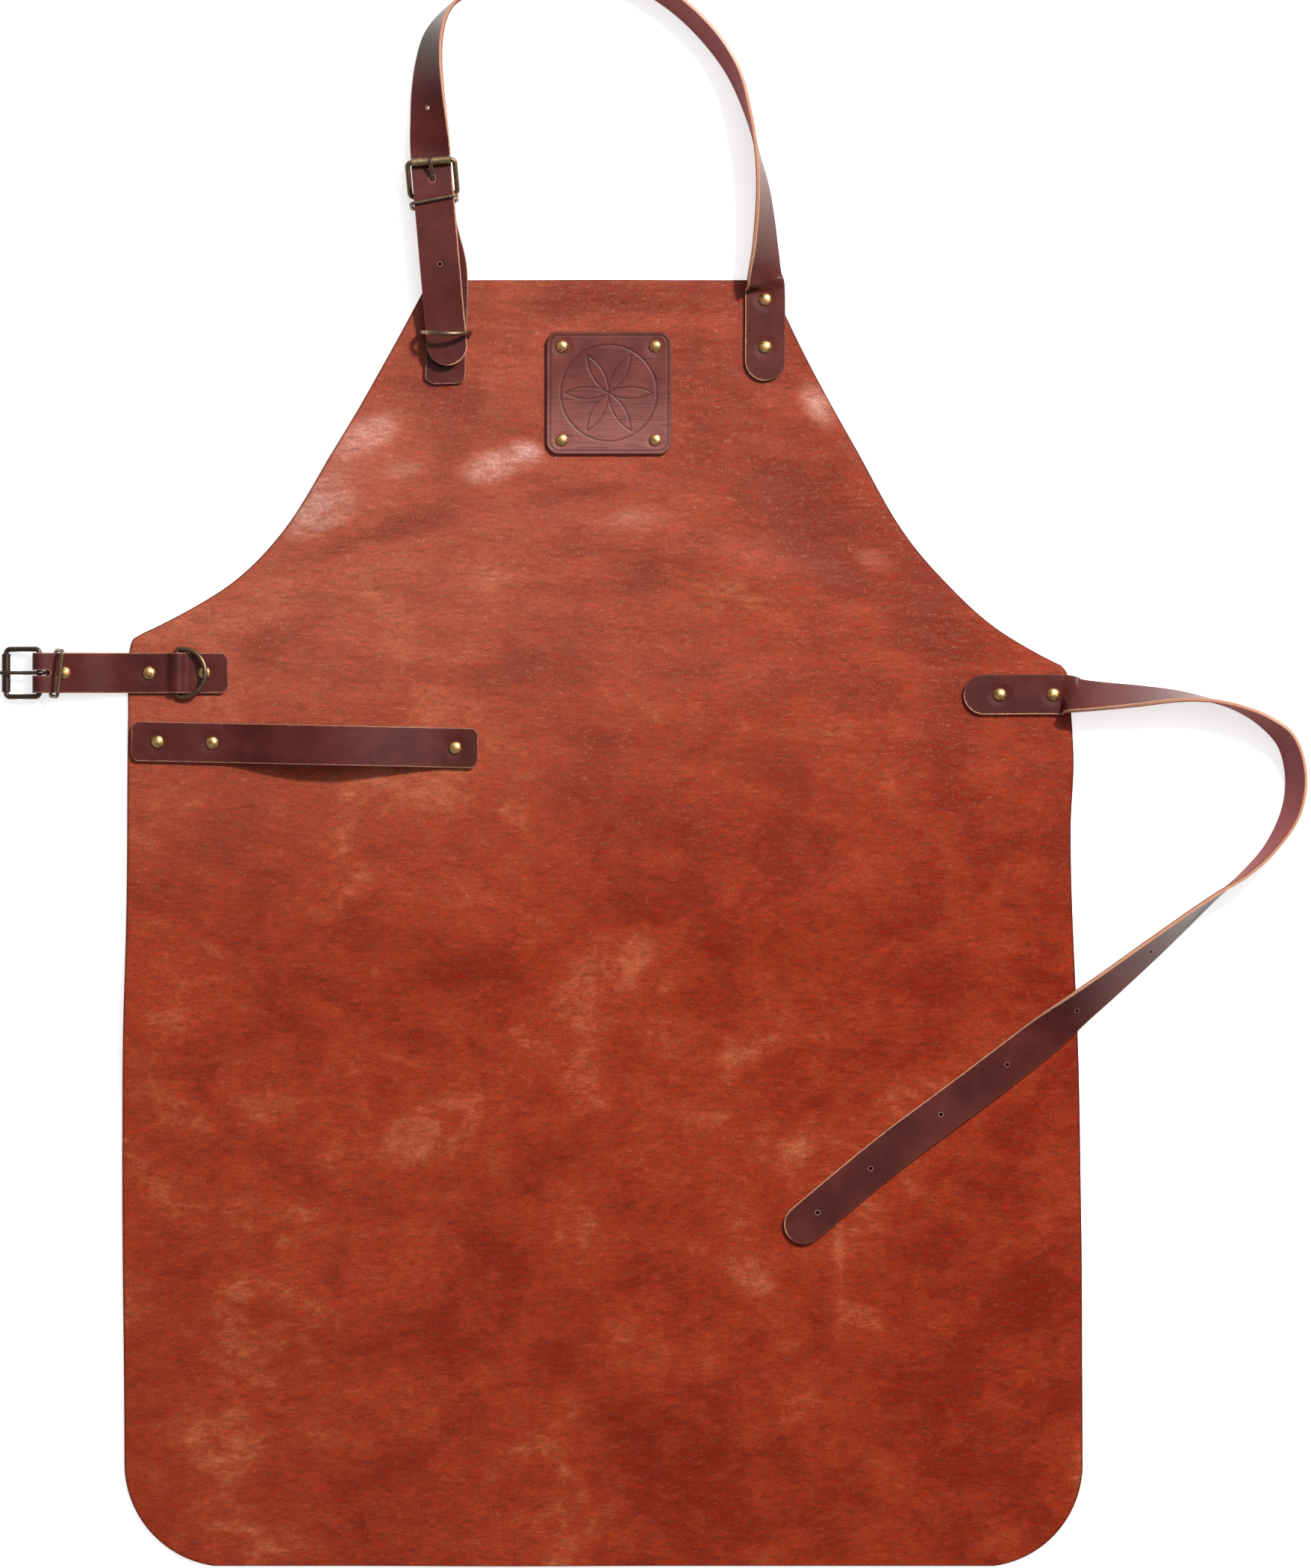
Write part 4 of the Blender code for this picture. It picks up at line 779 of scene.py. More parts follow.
def patch_leather():
    """The patch: its top pressed with the border and the rosette, dimpled at its rivets."""
    low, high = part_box("patch")
    centre = (low + high) / 2
    half_x, half_y = (high.x - low.x) / 2, (high.y - low.y) / 2
    straight = np.arange(-half_y + PATCH_CORNER, half_y - PATCH_CORNER, PATCH_STEP)
    last = asin(1 - PATCH_BEVEL / PATCH_CORNER)
    turns = np.linspace(0.0, last, 22)[1:]
    over = half_y - PATCH_CORNER + PATCH_CORNER * np.sin(turns)
    ys = np.concatenate([over[::-1], straight[::-1], -over])
    share = np.linspace(-1.0, 1.0, PATCH_COLUMNS + 1)
    into = np.clip(np.abs(ys) - half_y + PATCH_CORNER, 0, PATCH_CORNER)
    reach = half_x - PATCH_CORNER + np.sqrt(PATCH_CORNER**2 - into**2) - PATCH_BEVEL
    x = reach[:, None] * share
    y = np.repeat(ys[:, None], len(share), axis=1)
    inside = round_square(x, y, half_x, half_y, PATCH_CORNER)
    mark = rosette(x, y)
    drop = PRESS_DEPTH * (0.8 * pressed_line(inside - BORDER_INSET, BORDER_WIDTH) + mark)
    for spot in spots:
        far = np.hypot(x + centre.x - spot.x, y + centre.y - spot.y)
        drop += RIVET_DIMPLE * (1 - soft_rise(far, 0.75 * spot.cap, 2.0 * spot.cap))
    top = np.stack([x + centre.x, y + centre.y, high.z - drop], axis=-1)
    bottom = np.stack([x + centre.x, y + centre.y, np.full_like(x, low.z)], axis=-1)
    marks = {
        "flesh": (np.zeros_like(x), (0.0, 0.3, 0.8, 1.0), np.ones_like(x)),
        "rim": (inside, (0.0003, 0.0, 0.0, 0.0003), inside),
        "side": (mark, (0.0, 0.0, 0.0, 0.0), np.zeros_like(x)),
    }
    return walled("patch_leather", top, bottom, PATCH_WALL, marks)


def oxblood_leather():
    """Firm leather with a fine level grain, burnished dark at its edge and in the marks, with a
    painted sheen low down.
    """
    finish = Finish("patch_oxblood", 0.40, specular=0.22)
    place = finish.place
    streaks = finish.streaks(2.0, (55.0, 1100.0, 300.0), detail=5.0, rough=0.6, swirl=0.35)
    cloud = finish.clouds(place, 55.0, detail=3.0, rough=0.55)
    height = finish.node("ShaderNodeSeparateXYZ", {}, {0: place}, out="Y")
    # Painted sheen: the lower part of the patch made paler and mauve, as a reflection would.
    painted_low_sheen = height.within(0.345, 0.300)
    dye = finish.mixed(cloud.within(0.3, 0.7), (0.088, 0.0165, 0.0125), (0.136, 0.0280, 0.0225))
    dye = finish.mixed(painted_low_sheen * 0.50, dye, (0.30, 0.115, 0.098))
    dye = finish.mixed(streaks.within(0.48, 0.72) * 0.70, dye, (0.045, 0.010, 0.008))
    dye = finish.mixed(finish.marked("side").within(0.15, 0.9) * 0.6, dye, (0.045, 0.010, 0.008))
    rim = finish.marked("rim")
    border = rim.within(0.0013, 0.0020) * rim.within(0.0031, 0.0024)
    dye = finish.mixed(border * 0.55, dye, (0.040, 0.009, 0.007))
    dye = finish.mixed(rim.within(0.0010, 0.0002) * 0.75, dye, (0.060, 0.020, 0.014))
    finish.feed("Base Color", dye)
    finish.feed("Roughness", 0.36 + streaks * 0.14 + cloud * 0.06)
    finish.feed("Normal", finish.raised(1.0 - streaks * 0.8 + cloud * 0.3, 0.00022, 0.8))
    return finish.material


patch = patch_leather()
punched.on(patch, Bores=bores, Finish=oxblood_leather())
patch = made_plain(patch, "bib_patch")
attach(patch, "apron")
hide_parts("patch")

# The long straps and the towel loop
# Bridle leather, 25 mm wide, dyed through to a paler core that shows as a fuzzy line where
# it was cut. Swept along its path, dimpled under the rivets and punched for the prongs.
STRAP_WIDTH = 0.0250
STRAP_LEATHER = 0.0025
STRAP_ROUND = 0.00055
STRAP_STEP = 0.0011
LINE_STEP = 0.001
STRAP_HOLE_RADIUS = 0.0012
DIMPLE_REACH = 0.0088
DIMPLE_FLOOR = 0.0032
HOLE_PITCH = 0.0495
SEAT = BODY_LEATHER + CLEARANCE
STRAP_TOP = SEAT + STRAP_LEATHER
Station = namedtuple("Station", "x y foot tilt")
TipRow = namedtuple("TipRow", "run half")
ROUND_TIP = tuple(TipRow(1 - cos(radians(a)), sin(radians(a))) for a in range(5, 91, 5))
CUT_TIP = tuple(
    TipRow(0.34 * k / 12, 0.50 + 0.50 * sin(pi / 2 * (k / 12) ** 0.62)) for k in range(13)
)


class StrapLine:
    """A strap's centre line, with the directions across it and off its grain side."""

    def __init__(self, stations, inner):
        table = np.array(stations, float)
        chords = np.linalg.norm(np.diff(table[:, :2], axis=0), axis=1)
        along = np.concatenate([[0.0], np.cumsum(chords)])
        at = np.linspace(0.0, along[-1], max(2, round(along[-1] / LINE_STEP)))
        dense = np.stack([eased(along, table[:, k], at, k > 1) for k in range(4)], axis=1)
        tilt = np.radians(dense[:, 3])
        lean = np.abs(np.cos(tilt)) * STRAP_LEATHER / 2 + np.sin(tilt) * STRAP_WIDTH / 2
        self.points = np.column_stack([dense[:, :2], dense[:, 2] + lean])
        steps = np.linalg.norm(np.diff(self.points, axis=0), axis=1)
        self.runs = np.concatenate([[0.0], np.cumsum(steps)])
        self.length = float(self.runs[-1])
        tangent = np.gradient(self.points, self.runs, axis=0)
        tangent /= np.linalg.norm(tangent, axis=1)[:, None]
        across = np.cross([0.0, 0.0, 1.0], tangent) * inner
        across /= np.linalg.norm(across, axis=1)[:, None]
        off = np.cross(tangent, across) * inner
        tilt = tilt[:, None]
        self.across = across * np.cos(tilt) + off * np.sin(tilt)
        self.off = off * np.cos(tilt) - across * np.sin(tilt)

    def read(self, runs):
        """Centres, across and off at these runs from the start."""
        columns = (self.points, self.across, self.off)
        return [
            np.stack([np.interp(runs, self.runs, c[:, k]) for k in range(3)], axis=1)
            for c in columns
        ]


def tip_share(run, length, tip):
    """How much of its width a strap has at these runs, narrowed at both tips."""
    half = STRAP_WIDTH / 2
    table = [row.run for row in tip], [row.half for row in tip]
    return np.minimum(np.interp(run / half, *table), np.interp((length - run) / half, *table))


def chained(made, count, closed=False):
    """Joins a piece's points in a row with edges."""
    ends = [(k, (k + 1) % count) for k in range(count if closed else count - 1)]
    made.data.edges.add(len(ends))
    made.data.edges.foreach_set("vertices", np.ravel(ends))
    return made


def strap_spine(name, centres, across, off, runs, length, tip):
    """The line of points that a strap is swept along, with its marks."""
    marks = {
        "centre": np.asarray(centres),
        "across": np.asarray(across),
        "off": np.asarray(off),
        "to_tip": np.minimum(runs, length - np.asarray(runs)),
        "share": tip_share(np.asarray(runs), length, tip),
    }
    return chained(joined(name, centres, [], marks), len(centres))


def free_spine(name, line, tip):
    """The spine of a strap that follows a strap line."""
    half = STRAP_WIDTH / 2
    tips = [row.run * half for row in tip]
    even = np.arange(tips[-1] + STRAP_STEP, line.length - tips[-1] - STRAP_STEP / 2, STRAP_STEP)
    runs = np.concatenate([tips, even, [line.length - run for run in reversed(tips)]])
    return strap_spine(name, *line.read(runs), runs, line.length, tip)


def strap_sweep():
    """A tree that sweeps a strap's section along its spine and dimples it at the rivets."""
    shape = Shape(
        "swept_strap", Width="Float", Leather="Float", Round="Float", Square="Float",
        Rivets="Object", Dimple="Float", Finish="Material",
    )
    width, leather = shape.given("Width"), shape.given("Leather")
    section = shape.geo(
        "CurvePrimitiveQuadrilateral",
        {"mode": "RECTANGLE"},
        {"Width": width, "Height": leather},
    )
    section = shape.geo("SubdivideCurve", {}, {"Curve": section, "Cuts": 23})
    section = shape.geo(
        "FilletCurve",
        {"mode": "POLY"},
        {"Curve": section, "Count": 3, "Radius": shape.given("Round"), "Limit Radius": True},
    )
    spot = shape.node("ShaderNodeSeparateXYZ", {}, {0: shape.geo("InputPosition")}, out="X")
    section = shape.noted(section, "cut_side", spot)
    section = shape.noted(section, "cut_lift", spot.other("Y"))
    spine = shape.geo("MeshToCurve", {}, {"Mesh": shape.given()})
    swept = shape.geo(
        "CurveToMesh",
        {},
        {"Curve": spine, "Profile Curve": section, "Fill Caps": True},
    )
    half, side = width * 0.5, shape.read("cut_side")
    out = side * shape.read("share")
    for mark, value in (("side", side / half), ("flesh", 0.5 - shape.read("cut_lift") / leather)):
        swept = shape.noted(swept, mark, value)
    to_tip = shape.read("to_tip")
    from_round = half - shape.sum_of("MINIMUM", to_tip, half)
    round_rim = half - (from_round * from_round + out * out) ** 0.5
    cut_rim = shape.sum_of("MINIMUM", half * shape.read("share") - abs(out), to_tip * 1.4)
    square = shape.given("Square")
    swept = shape.noted(swept, "rim", round_rim * (1.0 - square) + cut_rim * square)
    centre, across, off = (shape.read(name, "FLOAT_VECTOR") for name in ("centre", "across", "off"))
    place = shape.moved(shape.moved(centre, across, out), off, shape.read("cut_lift"))
    swept = shape.geo("SetPosition", {}, {"Geometry": swept, "Position": place})
    rivets = shape.geo(
        "ObjectInfo", {"transform_space": "RELATIVE"}, {"Object": shape.given("Rivets")}
    )
    near = shape.geo(
        "Proximity",
        {"target_element": "POINTS"},
        {0: rivets.other("Geometry")},
        out="Distance",
    )
    sunk = near.within(DIMPLE_REACH, DIMPLE_FLOOR) * shape.read("cut_lift").within(0.0, 0.0008)
    sunk = sunk * shape.given("Dimple") * -1.0
    place = shape.moved(shape.geo("InputPosition"), off, sunk)
    swept = shape.geo("SetPosition", {}, {"Geometry": swept, "Position": place})
    shape.ends(swept)
    return shape


def bridle_leather(name="bridle_leather", pale_side=0.0):
    """Dark burgundy bridle leather: a tight waxed face, a dull red back, a pale cut edge."""
    finish = Finish(name, 0.34, coat=0.05, coat_roughness=0.24, specular=0.20)
    place = finish.place
    cloud = finish.clouds(place, 26.0, detail=4.0, rough=0.6)
    fine = finish.clouds(place, 700.0, detail=3.0, rough=0.6)
    scuffs = finish.streaks(33.0, (60.0, 900.0, 200.0), detail=3.0, rough=0.65)
    dye = finish.mixed(cloud.within(0.3, 0.7), (0.046, 0.0060, 0.0042), (0.084, 0.0140, 0.0105))
    dye = finish.mixed(scuffs.within(0.62, 0.80) * 0.35, dye, (0.19, 0.062, 0.048))
    back = finish.mixed(fine, (0.150, 0.022, 0.021), (0.300, 0.058, 0.054))
    flesh, rim = finish.marked("flesh"), finish.marked("rim")
    dye = finish.mixed(flesh.within(0.80, 0.97), dye, back)
    ragged = finish.clouds(place, 330.0, detail=4.0, rough=0.7) - 0.5
    ragged = rim + ragged * 0.0012
    face = flesh.within(0.9, 0.6)
    sides = finish.marked("side") * pale_side
    # The pale cut edge shows more along one side of the strap and less along the other.
    edge_paleness = 0.45 + 0.50 * sides.within(0.2, 0.9) - 0.38 * sides.within(-0.2, -0.9)
    core = finish.mixed(fine, (0.30, 0.130, 0.080), (0.56, 0.30, 0.185))
    dye = finish.mixed(ragged.within(0.00085, 0.00035) * face * edge_paleness, dye, core)
    lip = finish.marked("hole").within(0.0009, 0.0002)
    dye = finish.mixed(lip * 0.55, dye, (0.30, 0.15, 0.115))
    finish.feed("Base Color", dye)
    finish.feed("Roughness", 0.34 + cloud * 0.10 + flesh.within(0.8, 1.0) * 0.35 + scuffs * 0.06)
    relief = fine * 0.35 + finish.clouds(place, 240.0, detail=3.0) * 0.65
    finish.feed("Normal", finish.raised(relief, 0.00014, 0.8))
    return finish.material


def neck_foot():
    """The neck strap's upper rivet on the bib's right."""
    low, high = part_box("neck_rivet_1")
    return (low + high) / 2


NECK_RIVET_PITCH = 0.0297
NECK_TIP = 0.0212
NECK_RISE = 0.2010
NECK_TAIL = 0.1070
NECK_FIRST_HOLE = 0.0635
WAIST_RIVET_PITCH = 0.0335
WAIST_TIP = 0.0226
WAIST_LOOP_REACH = 0.1515
WAIST_LOOP_DROP = 0.3381
NeckRow = namedtuple("NeckRow", "side span rise tilt lift")
NECK_LOOP = rows_of(
    NeckRow,
    ("right", 0.998, 0.060, 32.0, 1.0), ("right", 1.000, 0.130, 50.0, 0.5),
    ("right", 0.999, 0.217, 62.0, 0.0), ("right", 0.993, 0.322, 74.0, 0.0),
    ("right", 0.976, 0.427, 86.0, 0.0), ("right", 0.952, 0.533, 93.0, 0.0),
    ("right", 0.905, 0.665, 104.0, 0.0), ("right", 0.832, 0.770, 108.0, 0.0),
    ("right", 0.716, 0.875, 107.0, 0.0), ("right", 0.558, 0.960, 105.0, 0.0),
    ("right", 0.387, 1.000, 102.0, 0.0), ("left", 0.226, 0.938, 97.0, 0.0),
    ("left", 0.119, 0.842, 91.0, 0.0), ("left", 0.045, 0.730, 79.0, 0.0),
    ("left", 0.008, 0.611, 62.0, 0.0), ("left", -0.006, 0.480, 50.0, 0.0),
    ("left", -0.009, 0.349, 38.0, 0.4), ("left", -0.006, 0.200, 24.0, 1.2),
)
WaistRow = namedtuple("WaistRow", "reach drop tilt lift")
WAIST_LOOP = rows_of(
    WaistRow,
    (0.094, 0.002, 36.0, 1.1), (0.204, 0.003, 50.0, 0.5), (0.313, 0.003, 59.0, 0.0),
    (0.533, 0.004, 79.0, 0.0), (0.644, 0.011, 88.0, 0.0), (0.754, 0.024, 93.0, 0.0),
    (0.865, 0.048, 102.0, 0.0), (0.957, 0.085, 111.0, 0.0), (0.998, 0.151, 113.0, 0.0),
    (0.978, 0.217, 110.0, 0.0), (0.894, 0.283, 100.0, 0.0), (0.788, 0.332, 93.0, 0.0),
    (0.665, 0.373, 82.5, 0.0), (0.423, 0.463, 62.0, 0.0), (0.204, 0.543, 46.0, 0.6),
    (0.093, 0.582, 36.0, 1.1), (-0.079, 0.645, 10.0, 1.0), (-0.285, 0.717, 2.0, 1.0),
    (-0.691, 0.854, 0.0, 1.0), (-1.093, 1.004, 0.0, 1.0),
)
CAP_PASS = 1.1
LOOP_CAP_PASS = 1.6
LOOP_LENGTH = 0.2170
LOOP_RISE = 0.0120
LOOP_HEADING = -1.2
LOOP_FIRST_RIVET = 0.0164
LOOP_SECOND_RIVET = 0.0506
LOOP_LAST_RIVET = 0.0143
LOOP_CAP_RADIUS = 0.0042
# Holes of the waist strap, in hole pitches from its tip
WAIST_HOLES = (0.48, 1.35, 2.47, 3.52, 4.64, 5.83)

# Heights in the buckles, over the table
FRAME_WIRE = 0.0033
KEEPER_WIRE = 0.0024
RING_WIRE = 0.0030
ROLLER_RADIUS = 0.00275
BAR_SPACING = 0.0217
FOLD_FOOT = KEEPER_WIRE + CLEARANCE
BAR_HEIGHT = FOLD_FOOT + STRAP_LEATHER + CLEARANCE + FRAME_WIRE / 2
FOLD_RADIUS = FRAME_WIRE / 2 + CLEARANCE + STRAP_LEATHER / 2
FOLD_TOP = FOLD_FOOT + 2 * STRAP_LEATHER + CLEARANCE
RING_HEIGHT = SEAT + RING_WIRE / 2
FIRST_RIVET = 0.0154
SECOND_RIVET = 0.0683
RING_BAR = 0.0858
NECK_FRAME_TILT = 15.0
TAIL_SLACK = 0.0012
TAIL_SAG = 0.47
PRONG_WIRE = 0.0024
PRONG_LENGTH = 0.0246
PRONG_ROOM = 0.0005
PRONG_RISE = asin((ROLLER_RADIUS + CLEARANCE + PRONG_WIRE / 2) / BAR_SPACING)
NECK_SET = shifted(-0.105477, 0.455034, 0.0) @ about("Z", -85.0)
WAIST_SET = shifted(-0.352181, 0.156500, 0.0)


def neck_tail_heights():
    """Where the neck strap's underside runs in its buckle: (run from the bar, height)."""
    tilt = radians(NECK_FRAME_TILT)
    far = BAR_SPACING * cos(tilt)
    roller = BAR_HEIGHT + BAR_SPACING * sin(tilt)
    under_roller = roller - ROLLER_RADIUS - CLEARANCE - STRAP_LEATHER
    over_bar = BAR_HEIGHT + FOLD_RADIUS + STRAP_LEATHER / 2 + 1.9 * CLEARANCE
    over_first = FOLD_TOP + 2 * CLEARANCE + RIVET_CAP_HEIGHT
    over_ring = RING_HEIGHT + RING_WIRE / 2 + 3 * CLEARANCE + STRAP_LEATHER
    over_rivet = over_first + TAIL_SLACK
    return [
        (-far, under_roller),
        (-0.5 * far, under_roller + TAIL_SAG * (over_bar - under_roller)),
        (0.0, over_bar),
        (FIRST_RIVET, over_rivet),
        (0.5 * (FIRST_RIVET + RING_BAR), over_rivet),
        (RING_BAR, over_ring),
        (NECK_TAIL, over_ring),
    ]


def neck_line():
    """From the riveted tip on the right, over the crown, to the tail in the buckle."""
    foot = neck_foot()
    past_cap = CAP_PASS * spots[RIVETS.index("neck_rivet_1")].cap
    tail = [NECK_SET @ Vector((run, 0.0, height)) for run, height in neck_tail_heights()]
    roller = tail[0]
    crown = BODY_LENGTH / 2 + NECK_RISE
    stations = [
        Station(foot.x, foot.y - NECK_RIVET_PITCH - NECK_TIP, SEAT, 0.0),
        Station(foot.x, foot.y - NECK_RIVET_PITCH, SEAT, 0.0),
        Station(foot.x, foot.y + past_cap, SEAT, 0.0),
    ]
    for row in NECK_LOOP:
        base = foot.y if row.side == "right" else roller.y
        x = roller.x + row.span * (foot.x - roller.x)
        stations.append(Station(x, base + row.rise * (crown - base), row.lift * SEAT, row.tilt))
    stations += [Station(place.x, place.y, place.z, 0.0) for place in tail]
    return StrapLine(stations, inner=1)


def waist_line():
    """From the riveted tip on the right hip, round the loop, to the tail on the skirt."""
    low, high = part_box("waist_rivet_2")
    foot = (low + high) / 2
    past_cap = CAP_PASS * (high.x - low.x) / 2
    stations = [
        Station(foot.x - WAIST_RIVET_PITCH - WAIST_TIP, foot.y, SEAT, 0.0),
        Station(foot.x - WAIST_RIVET_PITCH, foot.y, SEAT, 0.0),
        Station(foot.x + past_cap, foot.y, SEAT, 0.0),
    ]
    for row in WAIST_LOOP:
        x = foot.x + row.reach * WAIST_LOOP_REACH
        y = foot.y - row.drop * WAIST_LOOP_DROP
        stations.append(Station(x, y, row.lift * SEAT, row.tilt))
    return StrapLine(stations, inner=-1)


def towel_line():
    """Flat at its riveted ends and bowed up between them."""
    heading = radians(LOOP_HEADING)
    way = Vector((cos(heading), sin(heading), 0.0))
    past_cap = LOOP_CAP_PASS * LOOP_CAP_RADIUS
    first, last = LOOP_SECOND_RIVET + past_cap, LOOP_LENGTH - LOOP_LAST_RIVET - past_cap
    low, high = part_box("loop_rivet_1")
    start = (low + high) / 2 - LOOP_FIRST_RIVET * way
    rows = [(0.0, 0.0), (LOOP_SECOND_RIVET, 0.0)]
    for k in range(25):
        rise = LOOP_RISE * sin(pi * k / 24) ** 1.5
        rows.append((first + (last - first) * k / 24, rise))
    rows.append((LOOP_LENGTH, 0.0))
    spots_along = [(start + run * way, foot) for run, foot in rows]
    stations = [Station(spot.x, spot.y, SEAT + foot, 0.0) for spot, foot in spots_along]
    return StrapLine(stations, inner=1)


def strap_bores(name, line, runs, more=()):
    """Cutters for a strap: its rivets' holes, its punched holes, and more."""
    rings = ([], [])
    base = bores.data
    rings[0].extend(tuple(v.co) for v in base.vertices)
    rings[1].extend(tuple(p.vertices) for p in base.polygons)
    deep = 1.6 * STRAP_LEATHER
    for run in runs:
        centre, across, off = (Vector(v[0]) for v in line.read(np.array([run])))
        rows = len(rings[0])
        profile = [(0.0, -deep), (STRAP_HOLE_RADIUS, -deep), (STRAP_HOLE_RADIUS, deep), (0.0, deep)]
        turned(rings, profile, 20)
        frame_of = Matrix((across, off.cross(across), off)).transposed()
        for k in range(rows, len(rings[0])):
            rings[0][k] = tuple(centre + frame_of @ Vector(rings[0][k]))
    for points, faces in more:
        offset = len(rings[0])
        rings[0].extend(points)
        rings[1].extend(tuple(k + offset for k in face) for face in faces)
    return joined(name, *rings)


def prong_bore():
    """The hole that the neck buckle's prong fills."""
    rings = ([], [])
    tilt = radians(NECK_FRAME_TILT) + PRONG_RISE
    hole = PRONG_WIRE / 2 + PRONG_ROOM
    profile = [(0.0, 0.0), (hole, 0.0), (hole, PRONG_LENGTH), (0.0, PRONG_LENGTH)]
    turned(rings, profile, 16)
    lean = (
        NECK_SET
        @ shifted(0.0, 0.0, BAR_HEIGHT)
        @ Matrix.Rotation(tilt, 4, "Y")
        @ shifted(-FOLD_RADIUS, 0.0, 0.0)
        @ Matrix.Rotation(-pi / 2, 4, "Y")
    )
    return [tuple(lean @ Vector(p)) for p in rings[0]], rings[1]


rivet_marks = joined("rivet_marks", [(s.x, s.y, s.stack) for s in spots], [])
swept = strap_sweep()
bridle = bridle_leather()
one_side_pale = bridle_leather("bridle_one_side_pale", 1.0)


def cut_strap(spine, cutters, piece, node, finish=bridle, square=0.0, width=STRAP_WIDTH):
    """Sweeps a strap along its spine, punches it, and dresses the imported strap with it."""
    swept.on(
        spine, Width=width, Leather=STRAP_LEATHER, Round=STRAP_ROUND, Square=square,
        Rivets=rivet_marks, Dimple=RIVET_DIMPLE, Finish=finish,
    )
    punched.on(spine, Bores=cutters, Finish=finish)
    made = made_plain(spine, piece)
    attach(made, "apron")
    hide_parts(node)
    return made


over_head = neck_line()
neck_holes = [over_head.length - NECK_FIRST_HOLE - k * HOLE_PITCH for k in (0, 2)]
neck_cutters = strap_bores("neck_bores", over_head, neck_holes, [prong_bore()])
neck_spine = free_spine("neck_spine", over_head, ROUND_TIP)
neck_leather = cut_strap(neck_spine, neck_cutters, "neck_leather", "neck_strap", one_side_pale)

round_waist = waist_line()
waist_holes = [round_waist.length - share * HOLE_PITCH for share in WAIST_HOLES]
waist_cutters = strap_bores("waist_bores", round_waist, waist_holes)
waist_spine = free_spine("waist_spine", round_waist, ROUND_TIP)
waist_leather = cut_strap(waist_spine, waist_cutters, "waist_leather", "waist_strap", one_side_pale)

towel_spine = free_spine("towel_spine", towel_line(), CUT_TIP)
cut_strap(towel_spine, bores, "towel_leather", "towel_loop", square=1.0)

# The folded straps of the buckles
# Each is doubled round its buckle's bar, slotted there for the prong, riveted through both
# layers, and then riveted twice to the sheet with a D ring's bar under it between.
FOLD_BACK = 0.0245
FOLD_SPLIT = 0.03
SETTLE_RUN = 0.78 * FIRST_RIVET
SHEET_LAP = 0.0190
LANDING_RUN = SECOND_RIVET - SHEET_LAP
BUCKLE_STRAP_WIDTH = 0.0252
BUCKLE_STRAP_END = 0.1178
HUMP_HALF = 0.0070
SLOT_LENGTH = 0.0070
SLOT_UNDER = 0.0042
SLOT_WIDTH = 0.0034
SLOT_STEP = 0.00002
SwayRow = namedtuple("SwayRow", "run sway")
NECK_SWAY = rows_of(
    SwayRow, (0.00, 0.00), (0.12, 0.00), (0.40, 0.16), (0.73, 0.008), (1.00, -0.14)
)
NO_SWAY = rows_of(SwayRow, (0.0, 0.0), (1.0, 0.0))


def sway_at(run, sway):
    """Sideways shift of a folded strap at these runs."""
    runs, shifts = zip(*sway)
    share = np.clip(np.asarray(run) / BUCKLE_STRAP_END, 0.0, 1.0)
    return eased(runs, shifts, share, True) * BUCKLE_STRAP_WIDTH


def sway_heading(run, sway):
    """The heading of a swayed strap at these runs."""
    near = 0.001
    return np.arctan2(sway_at(run + near, sway) - sway_at(run - near, sway), 2 * near)


def soft_step(low, high, share):
    """From low to high in a soft S."""
    return low + (high - low) * (0.5 - 0.5 * cos(pi * share))


def fold_line():
    """Centre line (x, z): under layer, turn round the bar, top layer, hump over the ring."""
    half = STRAP_LEATHER / 2
    points = [(FOLD_BACK * (1 - k / 20), FOLD_FOOT + half) for k in range(20)]
    points.append((0.0, FOLD_FOOT + half))
    for angle in range(-104, -271, -8):
        turn = radians(angle)
        points.append((FOLD_RADIUS * cos(turn), BAR_HEIGHT + FOLD_RADIUS * sin(turn)))
    pressed, rest = FOLD_TOP - half, SEAT + half
    crest = RING_HEIGHT + RING_WIRE / 2 + CLEARANCE + half
    for k in range(1, 13):
        height = soft_step(BAR_HEIGHT + FOLD_RADIUS, pressed, k / 12)
        points.append((SETTLE_RUN * k / 12, height))
    points += [(SETTLE_RUN + (FOLD_BACK - SETTLE_RUN) * k / 10, pressed) for k in range(1, 10)]
    for k in range(21):
        run = FOLD_BACK + (LANDING_RUN - FOLD_BACK) * k / 20
        points.append((run, soft_step(pressed, rest, k / 20)))
    start, stop = RING_BAR - HUMP_HALF, RING_BAR + HUMP_HALF
    points += [(LANDING_RUN + (start - LANDING_RUN) * k / 24, rest) for k in range(1, 24)]
    for k in range(25):
        share = k / 12 - 1
        rise = cos(pi / 2 * share) ** 2
        points.append((RING_BAR + share * HUMP_HALF, rest + (crest - rest) * rise))
    tip = [BUCKLE_STRAP_END - row.run * BUCKLE_STRAP_WIDTH / 2 for row in CUT_TIP]
    points += [(stop + (tip[-1] - stop) * k / 20, rest) for k in range(1, 20)]
    points += [(run, rest) for run in reversed(tip)]
    return np.array(points)


